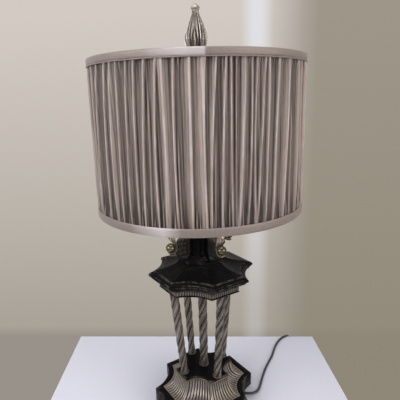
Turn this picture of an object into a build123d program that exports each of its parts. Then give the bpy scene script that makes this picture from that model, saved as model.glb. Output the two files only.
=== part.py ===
from build123d import *
import os
from math import cos, pi, radians, sin, sqrt, tan

# Candlestick table lamp: a fluted foot and a moulded head of eight sides, joined by rope-twist
# columns, with a vase neck on scroll brackets, a harp and a gathered drum shade.
# Millimetres, +Z up. The origin is on the table under the lamp's axis.

# Plan shared by the foot and the head: corners stand HALF_SIDE degrees each side of every axis
HALF_SIDE = 23.4

# Foot
FELT_T = 2.5
FELT_R = 92.0
SLAB_R = 98.4
SLAB_T = 27.5
SLAB_HOLLOW = 12.8
SLAB_EDGE = 1.0
SKIRT_FOOT_R = 82.6
SKIRT_FOOT_HOLLOW = 10.5
SKIRT_TOP_R = 57.2
SKIRT_H = 30.5
SKIRT_WALL = 3.5
SKIRT_STEPS = 6
PLATFORM_R = 56.2
PLATFORM_HOLLOW = 12.6
PLATFORM_T = 6.8
TRIM_T = 1.0
TRIM_H = 3.0
WEIGHT_R = 34.0
WEIGHT_T = 24.0

# Threaded rod that clamps the whole stem, with its nut and washer in a recess under the slab
ROD_R = 4.9
ROD_BORE_R = 3.5
ROD_HOLE_R = 5.3
RECESS_R = 17.0
RECESS_DEPTH = 20.0
WASHER_R = 13.0
WASHER_T = 2.0
NUT_FLATS = 16.0
NUT_T = 5.5
ROD_TAIL = 1.0

# Rope-twist columns: four lean outwards round an upright one
COLUMN_H = 177.2
COLUMN_FOOT_R = 7.3
COLUMN_TOP_R = 8.5
FOOT_CIRCLE_R = 44.9
TOP_CIRCLE_R = 61.7
RING_EXTRA = 1.6
RING_T = 3.0

# Head
APRON_T = 12.5
APRON_R = 81.0
APRON_HOLLOW = 9.0
BEAD_H = 7.0
BEAD_T = 1.6
BEAD_REST = 3.4
PLATE_T = 20.0
PLATE_R = 100.0
PLATE_HOLLOW = 10.0
PLATE_RIM_R = 88.0
FLARE_H = 15.0
FLARE_TOP_R = 44.5
FLARE_HOLLOW = 4.5

# Neck
NECK_FOOT_H = 14.0
NECK_FOOT_R = 43.0
NECK_STEP_H = 6.0
SHAFT_R = 24.2
SHAFT_HOLLOW = 1.6
VASE_H = 82.0
SHAFT_LOW = 6.0
SHAFT_HIGH = 44.0
SHOULDER_R = 33.0
SHOULDER_LOW = 64.0
SHOULDER_HIGH = 74.0
VASE_TOP_R = 17.0
VASE_CAP_T = 6.0
VASE_CAP_R = 15.0
TUBE_H = 10.0
TUBE_R = 8.0
CHECK_RING_R = 12.0
CHECK_RING_T = 2.0

# Scroll brackets and their balls, one on each straight side
BALL_R = 8.5
BALL_CIRCLE_R = 64.0
BALL_RISE = 20.0
CURL_GAP = 0.4
CURL_T = 3.4
BRACKET_W = 10.0
LEAF_W = 8.0

# Harp, saddle and sleeves
SADDLE_T = 1.6
SADDLE_W = 12.0
HARP_H = 232.0
HARP_LEG_X = 28.0
HARP_WIRE_R = 2.15
HARP_BULGE_X = 54.0
HARP_LEG_H = 31.0
PRONG_H = 9.0
SLEEVE_R = 3.6
SLEEVE_L = 14.0
SLEEVE_LIFT = 12.0
HARP_SEAT_R = 9.0
HARP_SEAT_T = 3.5
STUD_R = 3.15
STUD_H = 16.0
RUN_GAP = 0.08
SEAT_GAP = 0.3
FACE_GAP = 0.1

# Socket, switch and bulb
SOCKET_R = 17.5
SOCKET_WALL = 0.8
SOCKET_CAP_H = 16.0
SOCKET_SHELL_H = 54.0
SLEEVE_WALL = 0.6
CORE_FLOOR = 24.0
BULB_BASE_R = 13.3
BULB_BASE_H = 25.0
BULB_R = 30.0
BULB_H = 110.0
KNOB_R = 6.0
KNOB_L = 10.0
KNOB_RISE = 14.0
KNOB_SHAFT_R = 2.0
KNOB_STAND_OFF = 6.0

# Shade
SHADE_R = 178.0
SHADE_H = 250.0
TOP_TRIM_H = 10.3
BOTTOM_TRIM_H = 13.5
TRIM_WALL = 1.2
PIPING_R = 1.0
PLEATS = 76
PLEAT_DEPTH = 3.6
LINING_WALL = 0.8
LINING_GAP = 5.6
SHADE_WIRE_R = 1.6
SHADE_WIRE_FLAT = 1.0
SHADE_RING_DROP = 3.0
HUB_R = 11.0
HUB_T = 1.6
SPIDER_ARMS = 3
SPIDER_ARM_R = 0.7

# Finial
FINIAL_H = 87.5
FINIAL_R = 18.3
FINIAL_HOLE_DEPTH = 18.0

# Cord
CORD_R = 2.5
CORD_TUNNEL_R = 3.8
CORD_Z = 7.5
CORD_Y = 4.0
RELIEF_INSIDE = 15.0
RELIEF_OUTSIDE = 5.0
RELIEF_R = 3.7
RELIEF_TIP_R = 3.1
INNER_WIRE_R = 2.2
INNER_BEND_R = 9.0
INNER_WIRE_END = 6.0
COIL_CENTRE = (200.7, 290.8)
COIL_PITCH = 5.6
COIL_OUTER_R = 41.2
COIL_TURNS = 3.5
COIL_START_ANGLE = -62.0
TIE_T = 0.8
TIE_W = 8.0
TIE_GAP = 0.4
PLUG_TAIL = 25.0
PLUG_L = 30.0
PLUG_W = 24.0
PLUG_NECK_R = 4.6
BLADE_L = 16.0
BLADE_W = 6.3
BLADE_T = 1.5
BLADE_PITCH = 12.7

# Heights worked out from the thicknesses, from the table up
SLAB_BASE = FELT_T
SLAB_TOP = SLAB_BASE + SLAB_T
SKIRT_TOP = SLAB_TOP + SKIRT_H
PLATFORM_TOP = SKIRT_TOP + PLATFORM_T
HEAD_BASE = PLATFORM_TOP + COLUMN_H
PLATE_BASE = HEAD_BASE + APRON_T
PLATE_TOP = PLATE_BASE + PLATE_T
FLARE_TOP = PLATE_TOP + FLARE_H
VASE_BASE = FLARE_TOP + NECK_FOOT_H
VASE_TOP = VASE_BASE + VASE_H
CAP_TOP = VASE_TOP + VASE_CAP_T
TUBE_TOP = CAP_TOP + TUBE_H
SADDLE_BASE = TUBE_TOP + CHECK_RING_T
SADDLE_TOP = SADDLE_BASE + SADDLE_T
HARP_TOP = SADDLE_BASE + HARP_H
HUB_BASE = HARP_TOP + SEAT_GAP
RING_Z = HUB_BASE + HUB_T / 2
SHADE_TOP = RING_Z + SHADE_RING_DROP
SHADE_BASE = SHADE_TOP - SHADE_H
FINIAL_BASE = HUB_BASE + HUB_T + SEAT_GAP
LINING_R = SHADE_R - LINING_GAP - LINING_WALL
WASHER_BASE = SLAB_BASE + RECESS_DEPTH - WASHER_T
NUT_BASE = WASHER_BASE - NUT_T
ROD_BASE = NUT_BASE - ROD_TAIL

DIAGONALS = {"front_right": -45, "back_right": 45, "back_left": 135, "front_left": -135}


def at_angle(radius, angle, height=0.0):
    """A point at a radius and an angle in degrees about the lamp's axis."""
    return Vector(radius * cos(radians(angle)), radius * sin(radians(angle)), height)


def plan(radius, hollow, height):
    """The lamp's plan: a hollow side across each axis and a straight side across each diagonal."""
    edges = []
    for axis in (0, 90, 180, 270):
        first = at_angle(radius, axis - HALF_SIDE, height)
        last = at_angle(radius, axis + HALF_SIDE, height)
        middle = at_angle(radius * cos(radians(HALF_SIDE)) - hollow, axis, height)
        after = at_angle(radius, axis + 90 - HALF_SIDE, height)
        edges.append(Edge.make_three_point_arc(first, middle, last))
        edges.append(Edge.make_line(last, after))
    return Wire(edges)


def tier(rows):
    """A moulding through rows of (corner radius, hollow, height)."""
    return Solid.make_loft([plan(*row) for row in rows], True)


def flat_to(radius):
    """The distance from the axis to the straight side of a plan of this corner radius."""
    return radius * cos(radians(45 - HALF_SIDE))


def rod(radius, low, high, x=0.0, y=0.0):
    """An upright cylinder between two heights."""
    return Pos(x, y, (low + high) / 2) * Cylinder(radius, high - low)


def tube(outer, inner, low, high):
    return rod(outer, low, high) - rod(inner, low - 1, high + 1)


def stem_hole(low, high):
    return rod(ROD_HOLE_R, low - 1, high + 1)


def turned(profile):
    """A solid of revolution from (radius, height) points, closed along the axis."""
    points = [(r, 0, z) for r, z in profile]
    return revolve(make_face(Polyline(*points, close=True)), Axis.Z)


def turn_to(shape, angle):
    return Rot(0, 0, angle) * shape


def felt_pad():
    return tier([(FELT_R, SLAB_HOLLOW, 0), (FELT_R, SLAB_HOLLOW, FELT_T)])


def wall_x(y):
    """Where the slab's hollow +X side stands at a distance y from the X axis."""
    half = SLAB_R * sin(radians(HALF_SIDE))
    radius = (half**2 + SLAB_HOLLOW**2) / (2 * SLAB_HOLLOW)
    deepest = SLAB_R * cos(radians(HALF_SIDE)) - SLAB_HOLLOW
    return deepest + radius - sqrt(radius**2 - y**2)


def cord_tunnel(radius, start, end):
    """A round hole or plug along X at the height of the cord."""
    middle = Pos((start + end) / 2, CORD_Y, CORD_Z)
    return middle * Rot(0, 90, 0) * Cylinder(radius, end - start)


def base_slab():
    edge = SLAB_EDGE
    slab = tier(
        [
            (SLAB_R - edge, SLAB_HOLLOW, SLAB_BASE),
            (SLAB_R, SLAB_HOLLOW, SLAB_BASE + edge),
            (SLAB_R, SLAB_HOLLOW, SLAB_TOP - edge),
            (SLAB_R - edge, SLAB_HOLLOW, SLAB_TOP),
        ]
    )
    slab -= stem_hole(SLAB_BASE, SLAB_TOP)
    slab -= rod(RECESS_R, SLAB_BASE - 1, SLAB_BASE + RECESS_DEPTH)
    return slab - cord_tunnel(CORD_TUNNEL_R, 0, SLAB_R)


def skirt_rows(inset, low, high):
    """The skirt's flare is a quarter of an ellipse, upright at the top and flat at the foot."""
    rows = []
    for step in range(SKIRT_STEPS + 1):
        angle = radians(90 * (1 - step / SKIRT_STEPS))
        spread = 1 - cos(angle)
        fall = sin(angle)
        radius = SKIRT_TOP_R + (SKIRT_FOOT_R - SKIRT_TOP_R) * spread - inset
        hollow = PLATFORM_HOLLOW + (SKIRT_FOOT_HOLLOW - PLATFORM_HOLLOW) * spread
        rows.append((radius, hollow, high - (high - low) * fall))
    return rows


def fluted_skirt():
    outside = tier(skirt_rows(0, SLAB_TOP + TRIM_T, SKIRT_TOP))
    foot = tier(
        [
            (SKIRT_FOOT_R, SKIRT_FOOT_HOLLOW, SLAB_TOP),
            (SKIRT_FOOT_R, SKIRT_FOOT_HOLLOW, SLAB_TOP + TRIM_T),
        ]
    )
    hollow = rod(flat_to(SKIRT_TOP_R) - PLATFORM_HOLLOW - SKIRT_WALL, SLAB_TOP - 1, SKIRT_TOP + 1)
    return outside + foot - hollow


def base_weight():
    return tube(WEIGHT_R, ROD_HOLE_R, SLAB_TOP, SLAB_TOP + WEIGHT_T)


def platform():
    block = tier(
        [
            (PLATFORM_R, PLATFORM_HOLLOW, SKIRT_TOP),
            (PLATFORM_R, PLATFORM_HOLLOW, PLATFORM_TOP - SLAB_EDGE),
            (PLATFORM_R - SLAB_EDGE, PLATFORM_HOLLOW, PLATFORM_TOP),
        ]
    )
    return block - stem_hole(SKIRT_TOP, PLATFORM_TOP)


def collar(radius, hollow, wall, low, high):
    """A band of even wall that hugs a plan from outside."""
    outside = tier([(radius + wall, hollow, low), (radius + wall, hollow, high)])
    return outside - tier([(radius, hollow, low - 1), (radius, hollow, high + 1)])


def platform_trim():
    return collar(PLATFORM_R, PLATFORM_HOLLOW, TRIM_T, SKIRT_TOP, SKIRT_TOP + TRIM_H)


def threaded_rod():
    return tube(ROD_R, ROD_BORE_R, ROD_BASE, SADDLE_TOP + NUT_T)


def bottom_washer():
    return tube(WASHER_R, ROD_HOLE_R, WASHER_BASE, WASHER_BASE + WASHER_T)


def bottom_nut():
    nut = extrude(RegularPolygon(NUT_FLATS / 2, 6, major_radius=False), NUT_T)
    return Pos(0, 0, NUT_BASE) * nut - rod(ROD_R, NUT_BASE - 1, WASHER_BASE + 1)


def leaning_column(angle):
    """A tapered column whose ends are cut level where it stands and where it meets the head."""
    foot = at_angle(FOOT_CIRCLE_R, angle, PLATFORM_TOP)
    top = at_angle(TOP_CIRCLE_R, angle, HEAD_BASE)
    along = (top - foot).normalized()
    slack = 2 * COLUMN_TOP_R
    length = (top - foot).length + 2 * slack
    growth = (COLUMN_TOP_R - COLUMN_FOOT_R) * slack / COLUMN_H
    cone = Solid.make_cone(
        COLUMN_FOOT_R - growth,
        COLUMN_TOP_R + growth,
        length,
        Plane(origin=foot - along * slack, z_dir=along),
    )
    room = 2 * (TOP_CIRCLE_R + COLUMN_TOP_R + slack)
    level = Pos(0, 0, (PLATFORM_TOP + HEAD_BASE) / 2) * Box(room, room, COLUMN_H)
    return cone & level


def centre_column():
    cone = Solid.make_cone(
        COLUMN_FOOT_R + TRIM_T, COLUMN_TOP_R + TRIM_T / 2, COLUMN_H, Plane((0, 0, PLATFORM_TOP))
    )
    return cone - stem_hole(PLATFORM_TOP, HEAD_BASE)


def column_foot_rings(columns, middle):
    """A thin ring round the foot of each column."""
    rings = []
    for angle, column in columns:
        place = at_angle(FOOT_CIRCLE_R, angle)
        radius = COLUMN_FOOT_R + RING_EXTRA
        blank = rod(radius, PLATFORM_TOP, PLATFORM_TOP + RING_T, place.X, place.Y)
        rings.append((blank - column).solid())
    radius = COLUMN_FOOT_R + TRIM_T + RING_EXTRA
    blank = rod(radius, PLATFORM_TOP, PLATFORM_TOP + RING_T)
    rings.append((blank - middle - stem_hole(PLATFORM_TOP, HEAD_BASE)).solid())
    return Compound(rings)


def capital_apron():
    low = HEAD_BASE + BEAD_REST
    high = low + BEAD_H
    inside = APRON_R - 2 * BEAD_T
    block = tier(
        [
            (APRON_R - 1.5, APRON_HOLLOW, HEAD_BASE),
            (APRON_R, APRON_HOLLOW, HEAD_BASE + 0.8),
            (APRON_R, APRON_HOLLOW, low),
        ]
    )
    block += tier([(inside, APRON_HOLLOW, low), (inside, APRON_HOLLOW, PLATE_BASE)])
    return block - stem_hole(HEAD_BASE, PLATE_BASE)


def bead_moulding():
    low = HEAD_BASE + BEAD_REST
    return collar(APRON_R - 2 * BEAD_T, APRON_HOLLOW, BEAD_T, low, low + BEAD_H)


def capital_plate():
    """The head's moulding: a cove under the widest edge and a sloped shoulder up to the rim."""
    rows = [
        (PLATE_RIM_R + 1, PLATE_HOLLOW, PLATE_BASE),
        (PLATE_RIM_R + 3, PLATE_HOLLOW, PLATE_BASE + 2),
        (PLATE_R - 6, PLATE_HOLLOW, PLATE_BASE + 5),
        (PLATE_R - 5, PLATE_HOLLOW, PLATE_BASE + 8),
        (PLATE_R - 1, PLATE_HOLLOW, PLATE_BASE + 10.5),
        (PLATE_R, PLATE_HOLLOW, PLATE_BASE + 13),
        (PLATE_R - 2.5, PLATE_HOLLOW, PLATE_BASE + 16),
        (PLATE_RIM_R + 2, PLATE_HOLLOW, PLATE_TOP - 1.2),
        (PLATE_RIM_R, PLATE_HOLLOW, PLATE_TOP),
    ]
    return tier(rows) - stem_hole(PLATE_BASE, PLATE_TOP)


def capital_flare():
    """The roof of the head sweeps up to the neck, steeper as it rises."""
    rows = []
    steps = 6
    start = PLATE_RIM_R - 1.5
    for step in range(steps + 1):
        share = step / steps
        radius = FLARE_TOP_R + (start - FLARE_TOP_R) * (1 - share) ** 1.9
        hollow = FLARE_HOLLOW + (PLATE_HOLLOW - FLARE_HOLLOW) * (1 - share) ** 1.9
        rows.append((radius, hollow, PLATE_TOP + FLARE_H * share))
    return tier(rows) - stem_hole(PLATE_TOP, FLARE_TOP)


def neck_foot():
    rows = [
        (NECK_FOOT_R, FLARE_HOLLOW, FLARE_TOP),
        (NECK_FOOT_R, FLARE_HOLLOW, FLARE_TOP + NECK_STEP_H),
        (NECK_FOOT_R - 7, SHAFT_HOLLOW * 2, FLARE_TOP + NECK_STEP_H + 2),
        (NECK_FOOT_R - 10, SHAFT_HOLLOW * 2, VASE_BASE - 3),
        (SHAFT_R + 3, SHAFT_HOLLOW, VASE_BASE),
    ]
    return tier(rows) - stem_hole(FLARE_TOP, VASE_BASE)


def vase_shaft():
    rows = [
        (SHAFT_R + 2, SHAFT_HOLLOW, VASE_BASE),
        (SHAFT_R, SHAFT_HOLLOW, VASE_BASE + SHAFT_LOW),
        (SHAFT_R, SHAFT_HOLLOW, VASE_BASE + SHAFT_HIGH),
        (SHOULDER_R, SHAFT_HOLLOW, VASE_BASE + SHOULDER_LOW),
        (SHOULDER_R, SHAFT_HOLLOW, VASE_BASE + SHOULDER_HIGH),
        (VASE_TOP_R, SHAFT_HOLLOW, VASE_TOP),
    ]
    return tier(rows) - stem_hole(VASE_BASE, VASE_TOP)


def radial_plate(outline, width):
    """A closed outline of (radius, height) edges made a plate that stands out from the axis."""
    face = Face(outline)
    return Solid.extrude(face, Vector(0, width, 0)).moved(Location((0, -width / 2, 0)))


def ball_centre():
    return Vector(BALL_CIRCLE_R, 0, VASE_BASE + BALL_RISE)


def arc_about(centre, radius, start, middle, end):
    """An arc in the radial plane about a centre, by angles from +X towards +Z."""
    points = [
        centre + Vector(radius * cos(radians(a)), 0, radius * sin(radians(a)))
        for a in (start, middle, end)
    ]
    return Edge.make_three_point_arc(*points)


def scroll_bracket():
    """A curl round the inner and lower side of the ball, and a strap from it up to the shoulder."""
    centre = ball_centre()
    inner = BALL_R + CURL_GAP
    outer = inner + CURL_T
    curl_in = arc_about(centre, inner, 128, 190, 292)
    curl_out = arc_about(centre, outer, 156, 218, 288)
    seat = flat_to(SHOULDER_R)
    low = VASE_BASE + SHOULDER_LOW + 1
    high = VASE_BASE + SHOULDER_HIGH - 1
    reach = centre.X - seat
    climb = low - centre.Z
    strap_in, strap_out = (
        [start] + [Vector(centre.X + x * reach, 0, centre.Z + z * climb) for x, z in shares]
        for start, shares in (
            (curl_out @ 0, ((-0.274, 0.489), (-0.548, 0.867))),
            (curl_in @ 0, ((0.123, 0.489), (-0.219, 1.089))),
        )
    )
    seat_in = Vector(seat, 0, low)
    seat_out = Vector(seat, 0, high)
    edges = [
        curl_in,
        Edge.make_line(curl_in @ 1, curl_out @ 1),
        curl_out,
        Edge.make_spline([strap_in[0], strap_in[1], strap_in[2], seat_in]),
        Edge.make_line(seat_in, seat_out),
        Edge.make_spline([seat_out, strap_out[2], strap_out[1], strap_out[0]]),
    ]
    return radial_plate(Wire(edges), BRACKET_W)


def scroll_ball():
    return Pos(*ball_centre()) * Sphere(BALL_R)


def lobed_edge(points, swell):
    """Arcs from point to point that bulge to the left of the way they run."""
    edges = []
    for first, last in zip(points, points[1:]):
        run = last - first
        middle = (first + last) / 2 + Vector(-run.Z, 0, run.X) * swell
        edges.append(Edge.make_three_point_arc(first, middle, last))
    return edges


def scroll_leaf(bracket, stem):
    """A lobed leaf between a bracket and the stem, given with a straight side turned to +X."""
    centre = ball_centre()
    curl = BALL_R + CURL_GAP + CURL_T
    start = flat_to(SHAFT_R)
    low = FLARE_TOP + NECK_STEP_H
    high = VASE_BASE + SHAFT_HIGH - 1
    reach = centre.X - BALL_R
    corner = Vector(flat_to(NECK_FOOT_R) - 1, 0, low)
    above = ((0.0, 1.0), (0.3, 0.82), (0.6, 0.84), (1.0, 0.62))
    tops = [Vector(start + (reach - start) * s, 0, low + (high - low) * t) for s, t in above]
    under = Vector(centre.X - 0.62 * curl, 0, centre.Z - 0.9 * curl)
    below = [under, under + (corner - under) * 0.45, corner]
    inside = start - 2 * SHAFT_HOLLOW
    edges = lobed_edge(tops[::-1], -0.2)
    edges.append(Edge.make_line(tops[0], Vector(inside, 0, high)))
    edges.append(Edge.make_line(Vector(inside, 0, high), Vector(inside, 0, low - 1)))
    edges.append(Edge.make_line(Vector(inside, 0, low - 1), Vector(corner.X, 0, low - 1)))
    edges.append(Edge.make_line(Vector(corner.X, 0, low - 1), corner))
    edges += lobed_edge(below[::-1], -0.15)
    edges.append(Edge.make_line(under, tops[-1]))
    leaf = radial_plate(Wire(edges), LEAF_W) - stem - bracket
    return max(leaf.solids(), key=lambda solid: solid.volume)


def vase_cap():
    rows = [
        (ROD_HOLE_R, VASE_TOP),
        (VASE_CAP_R, VASE_TOP),
        (VASE_CAP_R, VASE_TOP + 2),
        (VASE_CAP_R - 4, CAP_TOP - 1),
        (VASE_CAP_R - 4, CAP_TOP),
        (ROD_HOLE_R, CAP_TOP),
    ]
    return turned(rows)


def brass_neck():
    return tube(TUBE_R, ROD_HOLE_R, CAP_TOP, TUBE_TOP)


def check_ring():
    return tube(CHECK_RING_R, ROD_HOLE_R, TUBE_TOP, SADDLE_BASE)


def harp_saddle():
    """A strip across the stem, bent up at both ends into round prongs for the harp."""
    length = 2 * (HARP_LEG_X + SLEEVE_R)
    strip = Pos(0, 0, SADDLE_BASE + SADDLE_T / 2) * Box(length, SADDLE_W, SADDLE_T)
    strip -= stem_hole(SADDLE_BASE, SADDLE_TOP)
    for side in (-1, 1):
        strip += rod(HARP_WIRE_R, SADDLE_TOP, SADDLE_TOP + PRONG_H, side * HARP_LEG_X)
    return strip


def harp():
    """A wire loop from prong to prong with the seat and stud for the shade on top."""
    foot = SADDLE_TOP + PRONG_H + SEAT_GAP
    knee = SADDLE_TOP + HARP_LEG_H + SLEEVE_LIFT / 2
    loft = HARP_TOP - HARP_SEAT_T - HARP_WIRE_R
    rise = loft - knee
    half = [
        (HARP_LEG_X, foot),
        (HARP_LEG_X, knee),
        (HARP_BULGE_X, knee + 0.24 * rise),
        (HARP_BULGE_X - 1, knee + 0.62 * rise),
        (0.72 * HARP_BULGE_X, knee + 0.89 * rise),
        (0.30 * HARP_BULGE_X, loft),
    ]
    points = [(x, 0, z) for x, z in half] + [(-x, 0, z) for x, z in reversed(half)]
    radii = [30, 34, 60, 30, 12, 12, 30, 60, 34, 30]
    path = FilletPolyline(*points, radius=radii)
    start = Plane(origin=path @ 0, z_dir=path % 0)
    wire = sweep(start * Circle(HARP_WIRE_R), path=path)
    seat_base = HARP_TOP - HARP_SEAT_T - HARP_WIRE_R
    seat = rod(HARP_SEAT_R, seat_base, HARP_TOP)
    return wire + seat + rod(STUD_R, HARP_TOP - 1, FINIAL_BASE + STUD_H)


def harp_sleeve(side):
    x = side * HARP_LEG_X
    low = SADDLE_TOP + SEAT_GAP
    body = rod(SLEEVE_R, low, low + SLEEVE_L, x)
    return body - rod(HARP_WIRE_R + RUN_GAP, low - 1, low + SLEEVE_L + 1, x)


def socket_cap():
    """The lower half of the socket case, a shallow cup on the saddle."""
    low = SADDLE_TOP
    high = low + SOCKET_CAP_H
    rows = [
        (ROD_R, low),
        (SOCKET_R - 7, low),
        (SOCKET_R - 2, low + 5),
        (SOCKET_R, low + 10),
        (SOCKET_R, high),
        (SOCKET_R - SOCKET_WALL, high),
        (SOCKET_R - SOCKET_WALL, low + 10),
        (SOCKET_R - 2 - SOCKET_WALL, low + 5.5),
        (SOCKET_R - 7, low + 1.5),
        (ROD_R, low + 1.5),
    ]
    return turned(rows)


def knob_hole(radius):
    """A cylinder along -Y at the height of the switch."""
    z = SADDLE_TOP + SOCKET_CAP_H + KNOB_RISE
    return Pos(0, -SOCKET_R, z) * Rot(90, 0, 0) * Cylinder(radius, SOCKET_R)


def socket_shell():
    low = SADDLE_TOP + SOCKET_CAP_H
    shell = tube(SOCKET_R, SOCKET_R - SOCKET_WALL, low, low + SOCKET_SHELL_H)
    return shell - knob_hole(KNOB_SHAFT_R + RUN_GAP)


def sleeve_r():
    """The outside radius of the insulating sleeve inside the shell."""
    return SOCKET_R - SOCKET_WALL - 0.1


def insulating_sleeve():
    low = SADDLE_TOP + SOCKET_CAP_H
    sleeve = tube(sleeve_r(), sleeve_r() - SLEEVE_WALL, low, low + SOCKET_SHELL_H - 1)
    return sleeve - knob_hole(KNOB_SHAFT_R + RUN_GAP)


def socket_core():
    low = SADDLE_TOP + SOCKET_CAP_H
    radius = sleeve_r() - SLEEVE_WALL - 0.1
    core = rod(radius, low, low + SOCKET_SHELL_H - 2)
    core -= rod(BULB_BASE_R + RUN_GAP, low + CORE_FLOOR, low + SOCKET_SHELL_H)
    z = low + KNOB_RISE
    depth = KNOB_STAND_OFF + RUN_GAP
    pocket = Pos(0, -(radius - depth / 2 + 0.5), z) * Rot(90, 0, 0)
    return core - pocket * Cylinder(KNOB_SHAFT_R + RUN_GAP, depth + 1)


def switch_knob():
    """A ribbed knob on the shaft that turns the switch."""
    z = SADDLE_TOP + SOCKET_CAP_H + KNOB_RISE
    core = sleeve_r() - SLEEVE_WALL - 0.1
    inner = core - KNOB_STAND_OFF + 0.5
    outer = SOCKET_R + 2.0
    shaft = Pos(0, -(inner + outer) / 2, z) * Rot(90, 0, 0) * Cylinder(KNOB_SHAFT_R, outer - inner)
    head = RegularPolygon(KNOB_R, 12)
    grip = Pos(0, -outer, z) * Rot(90, 0, 0) * extrude(head, KNOB_L)
    return shaft + grip


def bulb_foot():
    return SADDLE_TOP + SOCKET_CAP_H + CORE_FLOOR + SEAT_GAP


def bulb_base():
    low = bulb_foot()
    rows = [
        (0, low),
        (5, low),
        (BULB_BASE_R, low + 5),
        (BULB_BASE_R, low + BULB_BASE_H),
        (0, low + BULB_BASE_H),
    ]
    return turned(rows)


def bulb_glass():
    """A round bulb whose side is one smooth curve from the neck to the crown."""
    low = bulb_foot() + BULB_BASE_H
    top = bulb_foot() + BULB_H
    centre = top - BULB_R
    neck = BULB_BASE_R - 0.3
    dip = radians(-38)
    join = Vector(BULB_R * cos(dip), 0, centre + BULB_R * sin(dip))
    side = Edge.make_tangent_arc(join, Vector(sin(dip), 0, -cos(dip)), Vector(neck, 0, low))
    crown = Edge.make_three_point_arc(join, Vector(BULB_R, 0, centre), Vector(0, 0, top))
    axis = Edge.make_line(Vector(0, 0, top), Vector(0, 0, low))
    floor = Edge.make_line(Vector(0, 0, low), Vector(neck, 0, low))
    return revolve(Face(Wire([side, crown, axis, floor])), Axis.Z)


def wire_ring(radius, height):
    """A ring of squared wire with its four edges cut off."""
    wide, flat = SHADE_WIRE_R, SHADE_WIRE_FLAT
    section = [(wide, -flat), (wide, flat), (flat, wide), (-flat, wide)]
    section += [(-x, -z) for x, z in section]
    return turned([(radius + x, height + z) for x, z in section])


def shade_spider():
    """The shade's top wire ring, its arms and the washer that sits on the harp."""
    ring_r = LINING_R - SHADE_WIRE_R - 0.1
    spider = wire_ring(ring_r, RING_Z)
    for arm in range(SPIDER_ARMS):
        length = ring_r - HUB_R / 2
        bar = Pos(HUB_R / 2 + length / 2, 0, RING_Z) * Rot(0, 90, 0) * Cylinder(SPIDER_ARM_R, length)
        spider += turn_to(bar, 90 + 360 * arm / SPIDER_ARMS)
    spider += rod(HUB_R, HUB_BASE, HUB_BASE + HUB_T)
    return spider - rod(STUD_R + RUN_GAP, HUB_BASE - 1, HUB_BASE + HUB_T + 1)


def shade_bottom_ring():
    ring_r = LINING_R - SHADE_WIRE_R - 0.1
    return wire_ring(ring_r, SHADE_BASE + SHADE_WIRE_R + 0.5)


def shade_lining():
    return tube(LINING_R + LINING_WALL, LINING_R, SHADE_BASE + 0.5, SHADE_TOP - 0.5)


def pleated_cover():
    """The gathered cloth: one rounded fold beside another all the way round."""
    ridge = SHADE_R - TRIM_WALL - 0.2
    valley = ridge - PLEAT_DEPTH
    step = 360 / PLEATS
    folds = [
        Edge.make_three_point_arc(
            at_angle(valley, step * n), at_angle(ridge, step * (n + 0.5)), at_angle(valley, step * (n + 1))
        )
        for n in range(PLEATS)
    ]
    inside = Wire(Edge.make_circle(LINING_R + LINING_WALL + 0.1))
    face = Face(Wire(folds), [inside])
    height = SHADE_H - 2.0
    return Solid.extrude(face, Vector(0, 0, height)).moved(Location((0, 0, SHADE_BASE + 1.0)))


def trim_band(low, high):
    return tube(SHADE_R, SHADE_R - TRIM_WALL, low, high)


def top_piping():
    ring_r = SHADE_R - TRIM_WALL + PIPING_R
    return Pos(0, 0, SHADE_TOP - TOP_TRIM_H - PIPING_R - 0.1) * Torus(ring_r, PIPING_R)


def finial():
    """A bud of petals on a round foot, under a small pointed knob."""
    low = FINIAL_BASE
    half = [
        (8.0, 0.0),
        (8.0, 3.0),
        (6.5, 6.0),
        (9.0, 11.0),
        (14.5, 19.0),
        (17.6, 28.0),
        (FINIAL_R, 36.0),
        (17.2, 47.0),
        (14.6, 57.0),
        (10.6, 66.0),
        (7.2, 71.5),
        (5.6, 75.0),
        (6.6, 78.0),
        (7.5, 80.5),
        (5.6, 83.5),
        (1.2, FINIAL_H),
    ]
    rows = [(0, low)] + [(r, low + z) for r, z in half] + [(0, low + FINIAL_H)]
    return turned(rows) - rod(STUD_R + RUN_GAP, low - 1, low + FINIAL_HOLE_DEPTH)


def exit_x():
    """Where the cord leaves the slab's side wall."""
    return wall_x(CORD_Y)


def inner_wire():
    """The lead inside the lamp: in along the tunnel, up through the rod to the socket."""
    low = CORD_Z
    points = [
        (exit_x(), CORD_Y, low),
        (INNER_BEND_R + 8, CORD_Y, low),
        (INNER_BEND_R + 2, 0, low),
        (0, 0, low),
        (0, 0, SADDLE_TOP + INNER_WIRE_END),
    ]
    path = FilletPolyline(*points, radius=[4, 1.2, INNER_BEND_R])
    start = Plane(origin=path @ 0, z_dir=path % 0)
    return sweep(start * Circle(INNER_WIRE_R), path=path)


def strain_relief():
    """A tapered rubber sleeve, most of it in the wall and the rest round the first of the cord."""
    inside = exit_x() - RELIEF_INSIDE
    outside = exit_x() + RELIEF_OUTSIDE
    frame = Plane(origin=(inside, CORD_Y, CORD_Z), z_dir=(1, 0, 0))
    length = outside - inside
    sleeve = Solid.make_cone(RELIEF_R, RELIEF_TIP_R, length, frame)
    return sleeve - cord_tunnel(CORD_R, inside - 1, outside + 1)


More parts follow.
